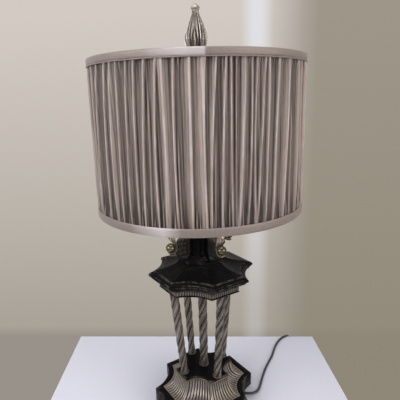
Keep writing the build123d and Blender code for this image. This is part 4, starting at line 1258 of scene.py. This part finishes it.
class LAMP_OT_head(bpy.types.Operator):
    """Makes the head: apron, bead band, moulded plate and roof"""
    bl_idname = "lamp.head"
    bl_label = "Head"

    def execute(self, context):
        pieces = {
            "capital_apron": tier_piece("lacquered_apron", APRON, HEAD_STEPS),
            "capital_plate": tier_piece("moulded_plate", PLATE, HEAD_STEPS),
            "capital_flare": make_flare(),
        }
        for node, piece in pieces.items():
            finish_piece(piece, lacquer, "black_lacquer", node)
        beads = make_beads(context.scene.lamp_head)
        finish_piece(beads, bead_leaf, "antique_silver_leaf", "bead_moulding")
        return {"FINISHED"}


# ---------------------------------------------------------------- neck

NECK_FOOT = [
    (42.6, 4.5, 292.0, 0), (43.1, 4.5, 292.5, 1), (43.1, 4.5, 294.4, 1), (42.0, 4.5, 295.0, 1),
    (42.0, 4.5, 296.8, 1), (40.2, 4.2, 298.2, 1), (37.0, 3.6, 299.2, 0), (36.0, 3.2, 300.0, 1),
    (36.0, 3.2, 301.2, 1), (33.6, 3.2, 302.0, 1), (33.0, 3.2, 303.2, 0), (30.0, 2.4, 304.6, 1),
    (27.2, 1.6, 306.0, 0),
]
VASE = [
    (26.2, 1.6, 306.0, 0), (26.6, 1.6, 307.2, 1), (26.4, 1.6, 308.4, 1), (24.6, 1.6, 310.4, 0),
    (24.2, 1.6, 313.0, 0), (24.2, 1.6, 350.0, 0), (26.0, 1.6, 356.0, 0), (30.6, 1.6, 364.5, 0),
    (32.6, 1.6, 369.2, 0), (33.0, 1.6, 371.0, 1), (33.0, 1.6, 379.2, 1), (31.4, 1.6, 381.2, 0),
    (25.0, 1.6, 384.6, 0), (17.4, 1.6, 387.8, 1), (16.0, 1.6, 388.0, 0),
]

# Ribs up the neck's four sides, with a stepped foot: half width, how far out and height
NECK_RIB = np.array([
    (10.4, 34.0, 292.2), (10.4, 34.6, 292.9), (10.2, 34.6, 294.0), (8.6, 33.4, 294.6), (8.4, 33.0, 297.2),
    (8.0, 32.6, 297.8), (6.6, 30.6, 298.6), (6.4, 30.0, 301.4), (5.8, 29.4, 302.2), (4.0, 27.4, 303.2),
    (3.4, 26.2, 305.4), (3.1, 24.6, 309.0), (3.0, 23.7, 314.0), (3.0, 23.6, 350.0), (2.6, 23.0, 353.0),
])
RIB_SIDES = {"right": 0, "back": 90, "left": 180, "front": -90}
RIB_FRONT, RIB_BACK = 2.2, 8.0

# Brackets, in the upright plane through the axis: the ball's centre, the curl's radii and angles round it,
# and the strap's inner and outer edge from there to its seat on the neck's shoulder
BALL = np.array((64.0, 326.0))
CURL_INNER, CURL_OUTER = 8.9, 12.3
INNER_ARC, OUTER_ARC = (292, 128), (288, 156)
STRAP_INNER = [(54.9, 348.0), (45.8, 365.0), (30.7, 371.0)]
STRAP_OUTER = [(68.1, 348.0), (56.7, 375.0), (30.7, 379.0)]
STRAP_HALF_WIDTH, STRAP_WIDENING = 4.8, 1.5
CURL_POINTS, STRAP_POINTS = 22, 34
BRACKET_RIDGES, LEAF_RIDGES = 3, 4

# Leaves: where they start and end, height by height how far in and out they reach and half their width,
# their lobes, the height below which they darken and over how much of it, and how deep ridges go, as a
# share of the half width
LEAF_LOW, LEAF_HIGH = 298.2, 349.0
LEAF_INNER = [(298.2, 36.5), (300.5, 31.5), (304.0, 27.0), (309.0, 23.4), (314.0, 22.3)]
LEAF_OUTER = [
    (298.2, 39.5), (301.0, 45.0), (306.0, 50.5), (312.0, 54.6), (317.0, 55.8), (330.0, 54.5), (338.0, 50.0),
    (349.0, 40.0),
]
LEAF_HALF_WIDTH = [(298.2, 5.4), (304.0, 5.0), (320.0, 4.0), (349.0, 3.2)]
LOBE_H, LOBE_DEPTH = 8.5, 1.6
LEAF_DARK_BELOW = 341.0
DARK_REACH = 9.0
RIDGE_DEPTH = 0.35


def radial_piece(name, first, last, half_width, ridges, degrees, power=0.55, dark_below=0.0):
    """A band between two lines in the radial plane, a rounded section carried from one to the other, with
    ridges along it. Its half width may change along the band, and it darkens below a height."""
    middle, reach = (first + last) / 2, (last - first) / 2
    c, s = superellipse(full_turn(56), power)
    hollow = 0.5 + 0.5 * np.cos(FULL * ridges * (c + 1) / 2)
    flank = np.abs(s) > 0.5
    wide = np.broadcast_to(half_width, len(first))[:, None]
    across = wide * s * (1 - RIDGE_DEPTH * hollow * flank)
    out, height = (middle[:, k:k + 1] + reach[:, k:k + 1] * c for k in (0, 1))
    recess = np.clip(hollow * 0.6 * flank + ease(height, dark_below, dark_below - DARK_REACH), 0, 1)
    return grid_piece(name, headed(out, across, height, degrees), values={"recess": recess})


def bracket_lines():
    """The two edges of a bracket: round the ball at two radii from a narrow tip, then up to the
    shoulder."""
    curls = []
    for radius, arc in ((CURL_OUTER, OUTER_ARC), (CURL_INNER, INNER_ARC)):
        angle = np.radians(np.linspace(*arc, CURL_POINTS))
        curls.append(BALL + radius * np.stack([np.cos(angle), np.sin(angle)], -1))
    middle = (curls[0] + curls[1]) / 2
    tip = 1 - 0.75 * ease(np.linspace(0, 1, CURL_POINTS), 0.1, 0)[:, None] ** 2
    edges = []
    for curl, strap in zip(curls, (STRAP_INNER, STRAP_OUTER)):
        curl = blend(middle, curl, tip)
        edges.append(np.concatenate([curl, smooth_line([curl[-1], *strap], STRAP_POINTS)[1:]]))
    return edges


def leaf_lines():
    """A leaf's inner edge up the neck's foot and shaft, its lobed outer edge from the roof to the bracket,
    and its half width, which shrinks upwards in the same lobes."""
    height = np.linspace(LEAF_LOW, LEAF_HIGH, 90)
    lines = (LEAF_INNER, LEAF_OUTER, LEAF_HALF_WIDTH)
    inner, outer, half = (np.interp(height, *zip(*line)) for line in lines)
    lobe = np.abs(np.sin(math.pi * (height - LEAF_LOW) / LOBE_H))
    outer = outer - LOBE_DEPTH * (1 - lobe)
    return np.stack([inner, height], -1), np.stack([outer, height], -1), half * (0.80 + 0.20 * lobe)


def rib_piece(name, degrees):
    """A rib with a rounded front: half a rounded square across its width, closed behind inside the neck,
    and a little worn near both edges of the front."""
    half, out, height = (NECK_RIB[:, k:k + 1] for k in range(3))
    c, s = superellipse(np.linspace(0, math.pi, 17), 0.5)
    across = np.concatenate([half * c, -half, half], 1)
    out = np.concatenate([out - RIB_FRONT * (1 - s), out - RIB_BACK, out - RIB_BACK], 1)
    wear = np.zeros(across.shape)
    wear[:, [2, 14]] = 0.15
    return grid_piece(name, headed(out, -across, height, degrees), values={"wear": wear})


class LAMP_OT_neck(bpy.types.Operator):
    """Makes the neck with its scroll brackets and leaves, and the ribs on its sides"""
    bl_idname = "lamp.neck"
    bl_label = "Neck"

    def execute(self, context):
        foot = tier_piece("lacquered_neck_foot", NECK_FOOT, NECK_STEPS, corner_width=0.7, worn=0.62)
        finish_piece(foot, lacquer, "black_lacquer", "neck_foot")
        vase = tier_piece("lacquered_vase", VASE, NECK_STEPS, corner_width=0.8, worn=0.5)
        finish_piece(vase, lacquer, "black_lacquer", "vase_shaft")
        first, last = bracket_lines()
        half = STRAP_HALF_WIDTH + STRAP_WIDENING * np.clip(np.linspace(-0.6, 1.2, len(first)), 0, 1)
        leaf_in, leaf_out, leaf_half = leaf_lines()
        for name, degrees in DIAGONALS.items():
            bracket = radial_piece(f"scroll_{name}", first, last, half, BRACKET_RIDGES, degrees)
            finish_piece(bracket, scroll_silver, "scroll_silver", f"scroll_bracket_{name}")
            leaf = radial_piece(f"leaf_{name}", leaf_in, leaf_out, leaf_half, LEAF_RIDGES, degrees,
                                power=0.8, dark_below=LEAF_DARK_BELOW)
            finish_piece(leaf, leaf_bronze, "leaf_bronze", "scroll_leaves")
        for side, degrees in RIB_SIDES.items():
            finish_piece(rib_piece(f"neck_rib_{side}", degrees), lacquer, "black_lacquer")
        return {"FINISHED"}


# ---------------------------------------------------------------- shade

COVER_LOW, COVER_HIGH = 393.1, 641.1
COVER_INNER_R = 172.6
COVER_VALLEY_R = 172.9
COVER_CREST_R = 177.6
COVER_ROWS, COVER_COLS = 46, 1680
CREASES = 14
CREASE_WAVES = (150, 420)
CREASE_RELIEF = 0.075

# Bands: their sections as (radius, height), the radius past which they are uneven, how many degrees the
# lapped end shows, the angles of the seams, and half a seam's width in radians
TOP_BAND = [
    (176.0, 641.0), (176.0, 631.9), (177.0, 631.8), (177.5, 632.6), (177.8, 634.5), (178.0, 637.2),
    (178.0, 639.6), (177.8, 641.0), (177.1, 641.8), (176.0, 642.1), (174.0, 642.1), (172.2, 642.0),
    (171.65, 641.6), (171.9, 641.2),
]
BOTTOM_BAND = [
    (176.0, 393.4), (171.9, 393.2), (171.65, 392.6), (172.2, 392.2), (174.0, 392.1), (176.0, 392.1),
    (177.1, 392.4), (177.7, 393.2), (178.0, 395.0), (178.0, 398.5), (178.0, 401.6), (177.8, 404.0),
    (177.4, 405.2), (176.8, 405.6), (176.0, 405.4),
]
BAND_FACE_R = 176.5
BAND_LAP = 27.0
TOP_SEAM, BOTTOM_SEAM = -74.2, -86.5
SEAM_HALF = 0.012
BAND_COLS = 720
PIPING_R, PIPING_HEIGHT, PIPING_HALF = 177.25, 630.75, 0.95

# The long folds of the front: where each runs at the top, the middle and the foot in degrees, its height
# as a share, how wide its left and right slopes are in mm, and how far up the drum it reaches
FRONT_FOLDS = [
    (-132.2, -137.1, -138.0, 0.90, 4.0, 1.6, 1.3),
    (-124.0, -127.5, -127.5, 1.00, 4.5, 1.5, 1.3),
    (-120.1, -122.7, -121.6, 0.95, 3.5, 4.0, 1.3),
    (-115.9, -116.8, -117.0, 1.00, 4.0, 1.7, 1.3),
    (-109.9, -111.7, -111.8, 1.00, 2.8, 1.7, 1.3),
    (-105.8, -107.2, -107.2, 1.00, 2.8, 1.7, 1.3),
    (-100.3, -102.8, -103.8, 1.00, 3.6, 1.5, 1.3),
    (-99.5, -99.9, -100.8, 0.85, 1.7, 1.6, 0.90),
    (-95.0, -97.0, -96.5, 1.00, 3.8, 1.2, 1.3),
    (-93.6, -92.5, -93.2, 0.95, 4.0, 5.2, 1.3),
    (-87.5, -88.5, -87.5, 1.00, 2.3, 1.8, 1.3),
    (-86.5, -86.9, -86.1, 0.70, 1.3, 1.4, 0.65),
    (-80.7, -80.9, -80.9, 1.00, 6.0, 1.3, 1.3),
    (-74.4, -75.3, -74.5, 1.00, 8.5, 1.2, 1.3),
    (-69.5, -71.9, -72.7, 0.95, 3.6, 1.4, 1.3),
    (-69.6, -70.7, -71.1, 0.70, 1.4, 1.6, 0.65),
    (-65.8, -67.3, -68.1, 1.00, 1.6, 2.8, 1.3),
    (-63.5, -63.6, -63.0, 1.00, 1.6, 1.9, 1.3),
    (-61.1, -61.5, -61.6, 0.80, 1.3, 1.5, 1.3),
    (-57.6, -58.3, -60.4, 1.00, 2.8, 3.8, 1.3),
    (-53.9, -54.1, -55.6, 0.95, 1.5, 1.8, 1.3),
    (-51.0, -52.5, -51.4, 0.90, 1.7, 3.2, 1.3),
    (-47.1, -48.8, -50.8, 1.00, 1.9, 2.3, 1.3),
    (-45.1, -45.1, -46.5, 1.00, 2.3, 3.2, 1.3),
    (-38.9, -40.5, -41.6, 1.00, 1.3, 6.0, 1.3),
    (-30.2, -31.8, -33.5, 1.00, 6.0, 2.6, 1.3),
    (-28.2, -28.0, -28.4, 0.80, 1.8, 2.8, 0.80),
    (-21.2, -20.0, -21.2, 0.90, 5.0, 4.0, 1.3),
]


def fold_layer(angle, share, folds):
    """The highest of many folds at every point. A fold's crest runs up the drum on a parabola through its
    three angles, and its height falls on each side as a power of 1 over 1 plus the squared distance in
    that side's widths. It fades in above its start and out towards its end, both shares of the drum's
    height."""
    best = np.zeros(np.broadcast_shapes(angle.shape, share.shape))
    up = 2 * share - 1
    for top, middle, foot, rise, left, right, start, start_over, end, end_over in folds:
        line = middle + (top - foot) / 2 * up + ((top + foot) / 2 - middle) * up**2
        gap = ((angle - np.radians(line) + math.pi) % FULL - math.pi) * COVER_CREST_R
        crest = 1 / (1 + (gap / np.where(gap > 0, right, left)) ** 2) ** 1.15
        fade = ease(share, start, start + start_over) * ease(share, end, end - end_over)
        best = np.maximum(best, rise * crest * soft_step(fade))
    return best


def back_folds(draw, number):
    """Long folds for the rest of the drum, drawn at random in the manner of the front ones."""
    step = (360 + FRONT_FOLDS[0][1] - FRONT_FOLDS[-1][1]) / (number + 1)
    middle = FRONT_FOLDS[-1][1] + step * (np.arange(number) + 1 + draw.uniform(-0.3, 0.3, number))
    tilt = draw.normal(0, 0.9, (2, number))
    steep, broad = draw.uniform(1.3, 2.0, number), draw.uniform(2.0, 5.5, number)
    turned = draw.random(number) < 0.5
    left, right = np.where(turned, steep, broad), np.where(turned, broad, steep)
    end = np.where(draw.random(number) < 0.2, draw.uniform(0.6, 0.9, number), 1.3)
    rise = draw.uniform(0.75, 1.0, number)
    return np.stack([middle + tilt[0], middle, middle + tilt[1], rise, left, right, end], -1)


def pucker_folds(draw, number, at_top):
    """Small puckers at a band, which die out a little way from it."""
    middle = 360 / number * (np.arange(number) + draw.uniform(-0.35, 0.35, number))
    widths = draw.uniform(0.7, 1.5, (2, number))
    reach = draw.uniform(0.10, 0.26, number) * (0.7 if at_top else 1.0)
    start, end = (1.0 - reach, np.full(number, 1.3)) if at_top else (np.full(number, -0.3), reach)
    over = np.full(number, 0.12)
    rise = draw.uniform(0.45, 1.00, number)
    return np.stack([middle, middle, middle, rise, *widths, start, over, end, over], -1)


def make_cover(own):
    """The gathered cloth: a drum whose radius is the valley's plus the highest of its long folds and of
    the small puckers at the bands, over a slow waviness in the valleys, with fine creases on all of it.
    It marks where shade is painted deep in the folds and where a highlight is painted on a crest."""
    draw = np.random.default_rng(20)
    angle = full_turn(COVER_COLS)[None, :]
    share = np.linspace(0, 1, COVER_ROWS)[:, None]
    long_folds = np.concatenate([FRONT_FOLDS, back_folds(draw, own.back_folds)])
    fades = np.broadcast_to([-0.3, 0.2, 0.0, 0.25], (len(long_folds), 4)).copy()
    fades[:, 2] = long_folds[:, 6]
    relief = fold_layer(angle, share, np.concatenate([long_folds[:, :6], fades], 1))
    relief = relief * (0.66 + 0.34 * ease(share, 0, 0.16)) * (0.78 + 0.22 * ease(share, 1, 0.90))
    for at_top in (False, True):
        puckers = fold_layer(angle, share, pucker_folds(draw, own.puckers, at_top))
        relief = np.maximum(relief, puckers)
    slow = 0.10 + 0.07 * np.sin(23 * angle + 2.0 * share) + 0.05 * np.sin(41 * angle - 3.0 * share + 1.0)
    creases = sum(np.sin(k * angle + draw.normal(0, 1.5) * (share - 0.5) * k / 60 + draw.uniform(0, FULL))
                  for k in draw.integers(*CREASE_WAVES, CREASES)) / CREASES**0.5
    relief = np.clip(np.maximum(relief, slow) + CREASE_RELIEF * np.clip(creases, -1.6, 1.6), 0, 1)
    radius = blend(COVER_VALLEY_R, COVER_CREST_R, relief)
    rings = [around(radius, angle, blend(COVER_LOW, COVER_HIGH, share))]
    rings += [around(COVER_INNER_R, angle, height) for height in (COVER_HIGH, COVER_LOW)]
    steep = np.abs(np.roll(relief, 2, 1) - np.roll(relief, -2, 1))
    # Painted shade: darkest in valleys, more on steep sides, in creases and near the bands; painted highlight
    # on crests
    fold = ease(relief, 0.62, 0) ** 1.2 * (0.74 + 1.2 * steep) + 0.11 * np.clip(-creases, 0, 1.5)
    fold = fold * (1 + 1.1 * bell(share, 0, 0.15) + 0.5 * bell(share, 1, 0.08))
    marks = {"fold": np.clip(fold, 0, 0.92), "crest": ease(relief, 0.70, 0.98) ** 1.5}
    marks = {key: np.pad(value, ((0, 2), (0, 0))) for key, value in marks.items()}
    return grid_piece("gathered_cover", np.concatenate(rings), loop_rows=True, values=marks, smooth=80)


def make_band(name, section, seed, pucker, top, seam_at):
    """A cloth band: a closed section carried round the drum, its face and its free edge a little uneven,
    with a ridge at the lapped seam. It marks how far the lapped end covers it: a painted sheen."""
    draw = np.random.default_rng(seed)
    angle = full_turn(BAND_COLS)
    radius, height = np.array(section, float).T[..., None]
    uneven = pucker * random_waves(draw, angle, range(9, 60, 3), 0.5)
    seam = math.radians(seam_at) % FULL
    ridge = ease(np.abs(angle - seam + SEAM_HALF), SEAM_HALF, 0) ** 0.5 * 0.35
    face = radius > BAND_FACE_R
    free = ((height < height.mean()) == top) & face
    points = around(radius + np.where(face, (uneven - pucker) * 0.6 + ridge - 0.1, 0), angle,
                    height + np.where(free, uneven * 0.7, 0))
    before = (seam - angle) / math.radians(BAND_LAP)
    painted_lap_sheen = ease(before, 0, 0.02 if top else 0.30) * ease(before, 1, 0.35)
    return grid_piece(name, points, loop_rows=True, values={"painted_lap_sheen": painted_lap_sheen}, smooth=60)


def make_piping():
    """The piping: a round cord carried round the drum under the top band, a little uneven."""
    draw = np.random.default_rng(5)
    angle = full_turn(BAND_COLS)
    turn = full_turn(10)[:, None]
    radius = PIPING_R + PIPING_HALF * np.cos(turn)
    height = PIPING_HEIGHT + PIPING_HALF * np.sin(turn)
    uneven = 0.12 * random_waves(draw, angle, range(11, 60, 4))
    return grid_piece("piping", around(radius, angle, height + uneven), loop_rows=True)


class LAMP_OT_shade(bpy.types.Operator):
    """Makes the gathered cover, its bands and the piping"""
    bl_idname = "lamp.shade"
    bl_label = "Shade"

    def execute(self, context):
        cover = make_cover(context.scene.lamp_shade)
        finish_piece(cover, gathered_satin, "pleated_cloth", "pleated_cover", body="shade")
        trims = {
            "top_trim": make_band("top_band", TOP_BAND, 3, 0.25, True, TOP_SEAM),
            "bottom_trim": make_band("bottom_band", BOTTOM_BAND, 4, 0.35, False, BOTTOM_SEAM),
            "top_piping": make_piping(),
        }
        for node, piece in trims.items():
            finish_piece(piece, band_satin, "trim_cloth", node, body="shade")
        return {"FINISHED"}


# ---------------------------------------------------------------- finial

# Where the finial's foot is, how tall it is, the way its first petal faces, its rows and steps across a
# petal and, up from its foot, where the drop on a petal lies and where the petals and the knob set in and
# end
FINIAL_LOW, FINIAL_H = 640.2, 87.5
FINIAL_FRONT = -85.0
FINIAL_ROWS, PETAL_STEPS = 240, 48
DROP_FOOT, DROP_WIDEST, DROP_TIP = 9, 18, 52
BUD_RISES, BUD_FALLS = (6, 12), (76, 70)
KNOB_RISES = (75.5, 77)
KNOB_SIDES = 6
FINIAL_PROFILE = [
    (8.0, 0.0), (8.0, 3.0), (6.5, 6.0), (9.0, 11.0), (14.5, 19.0), (17.6, 28.0), (18.3, 35.0), (17.0, 43.0),
    (14.6, 51.0), (11.8, 58.5), (8.8, 65.5), (6.7, 71.0), (5.5, 75.0), (6.4, 78.5), (7.5, 80.5), (5.6, 83.5),
    (1.2, FINIAL_H),
]


def make_finial(own):
    """The finial: its profile turned and cut into long petals. Across a petal the relief is a Gaussian
    ridge near each edge, a faint rib in the middle and a dark gap between petals. A drop lies on each
    petal's foot: its half width rises as a square root and closes as a power, with a raised rim round a
    swelling. The knob on top is cut to flat sides."""
    up = np.linspace(0, FINIAL_H, FINIAL_ROWS)[:, None]
    base = smooth_line(FINIAL_PROFILE, 400)
    base = base[np.argsort(base[:, 1], kind="stable")]
    radius = np.interp(up, base[:, 1], base[:, 0])
    front, petal = math.radians(FINIAL_FRONT), FULL / own.petals
    angle = full_turn(own.petals * PETAL_STEPS) + front - petal / 2
    off = np.abs((angle - front + petal / 2) % petal - petal / 2) / (petal / 2)
    ridge, gap, rib = bell(off, 0.68, 0.17), bell(off, 1.0, 0.15), bell(off, 0, 0.14)
    half = 0.78 * np.sqrt(ease(up, DROP_FOOT, DROP_WIDEST)) * ease(up, DROP_TIP, DROP_WIDEST) ** 0.8
    inside = 1 - off / np.maximum(half, 1e-3)
    rim, swelling = bell(inside, 0.16, 0.11), ease(inside, 0.42, 0.82) ** 0.5
    beside = ease(inside, -0.3, 0)
    relief = np.where(inside > 0, 0.25 + 0.85 * rim + 0.65 * swelling,
                      0.42 + 0.50 * ridge + 0.14 * rib - 0.42 * gap - 0.35 * beside)
    recess = np.where(inside > 0, np.clip(0.95 - 1.3 * rim - 1.0 * swelling, 0, 1),
                      np.clip(0.62 - 0.75 * ridge + 0.60 * gap, 0, 1) + beside)
    bud, knob = ease(up, *BUD_RISES) * ease(up, *BUD_FALLS), ease(up, *KNOB_RISES)
    side = math.pi / KNOB_SIDES
    facet = math.cos(side) / np.cos(angle % (2 * side) - side)
    radius = radius * (1 - knob * (1 - facet) * 0.9) + own.relief / MM * (relief - 0.85) * bud
    recess = np.clip(recess * bud + (1 - bud) * (0.75 - 0.65 * knob), 0, 1)
    points = around(np.maximum(radius, 0.4), angle, FINIAL_LOW + up)
    return grid_piece("petal_finial", points, values={"recess": recess}, smooth=55)


class LAMP_OT_finial(bpy.types.Operator):
    """Makes the finial with its petals"""
    bl_idname = "lamp.finial"
    bl_label = "Finial"

    def execute(self, context):
        finial = make_finial(context.scene.lamp_finial)
        finish_piece(finial, finial_silver, "finial_silver", "finial", body="finial")
        return {"FINISHED"}


# ---------------------------------------------------------------- fittings

FITTINGS = {
    felt: ["felt_pad"],
    cast_iron: ["base_weight"],
    steel: ["threaded_rod", "bottom_washer", "bottom_nut", "bulb_base"],
    lacquer: ["vase_cap"],
    antique_brass: ["brass_neck", "check_ring", "harp_saddle", "harp", "harp_sleeve_left",
                    "harp_sleeve_right"],
    polished_brass: ["socket_cap", "socket_shell", "plug_blades"],
    insulating_card: ["insulating_sleeve"],
    phenolic: ["socket_core", "switch_knob"],
    bulb_glass: ["bulb_glass"],
    shade_wire: ["shade_spider", "shade_bottom_ring"],
    lining: ["shade_lining"],
    wire_insulation: ["inner_wire"],
    tie_plastic: ["coil_tie"],
    ball_gilt: [f"scroll_ball_{name}" for name in DIAGONALS],
}


class LAMP_OT_fittings(bpy.types.Operator):
    """Gives the fittings that keep their packed shape their materials"""
    bl_idname = "lamp.fittings"
    bl_label = "Fittings"

    def execute(self, context):
        for finish, nodes in FITTINGS.items():
            for node in nodes:
                mesh = NODES[node].data
                mesh.materials.clear()
                mesh.materials.append(finish())
        return {"FINISHED"}


# ---------------------------------------------------------------- panel and run

class LAMP_PT_panel(bpy.types.Panel):
    """Lists the lamp's steps and settings"""
    bl_label = "Table lamp"
    bl_idname = "LAMP_PT_panel"
    bl_space_type = "VIEW_3D"
    bl_region_type = "UI"
    bl_category = "Lamp"

    def draw(self, context):
        for operator in OPERATORS:
            self.layout.operator(operator.bl_idname)
        for key, group in SETTINGS.items():
            box = self.layout.box()
            box.label(text=group.__doc__)
            for name in group.__annotations__:
                box.prop(getattr(context.scene, key), name)


SETTINGS = {
    "lamp_foot": FootSettings,
    "lamp_column": ColumnSettings,
    "lamp_head": HeadSettings,
    "lamp_neck": NeckSettings,
    "lamp_shade": ShadeSettings,
    "lamp_finial": FinialSettings,
    "lamp_cord": CordSettings,
    "lamp_stage": StageSettings,
}
OPERATORS = [
    LAMP_OT_stage,
    LAMP_OT_cord,
    LAMP_OT_foot,
    LAMP_OT_columns,
    LAMP_OT_head,
    LAMP_OT_neck,
    LAMP_OT_shade,
    LAMP_OT_finial,
    LAMP_OT_fittings,
]
CLASSES = [*SETTINGS.values(), *OPERATORS, LAMP_PT_panel]


def register():
    for item in CLASSES:
        bpy.utils.register_class(item)
    for key, group in SETTINGS.items():
        setattr(bpy.types.Scene, key, PointerProperty(type=group))


def unregister():
    for key in SETTINGS:
        delattr(bpy.types.Scene, key)
    for item in reversed(CLASSES):
        bpy.utils.unregister_class(item)


def main():
    """Registers the classes and runs every step in order."""
    register()
    for operator in OPERATORS:
        area, name = operator.bl_idname.split(".")
        if getattr(getattr(bpy.ops, area), name)() != {"FINISHED"}:
            raise RuntimeError(f"{operator.bl_idname} didn't finish")


if __name__ == "__main__":
    main()
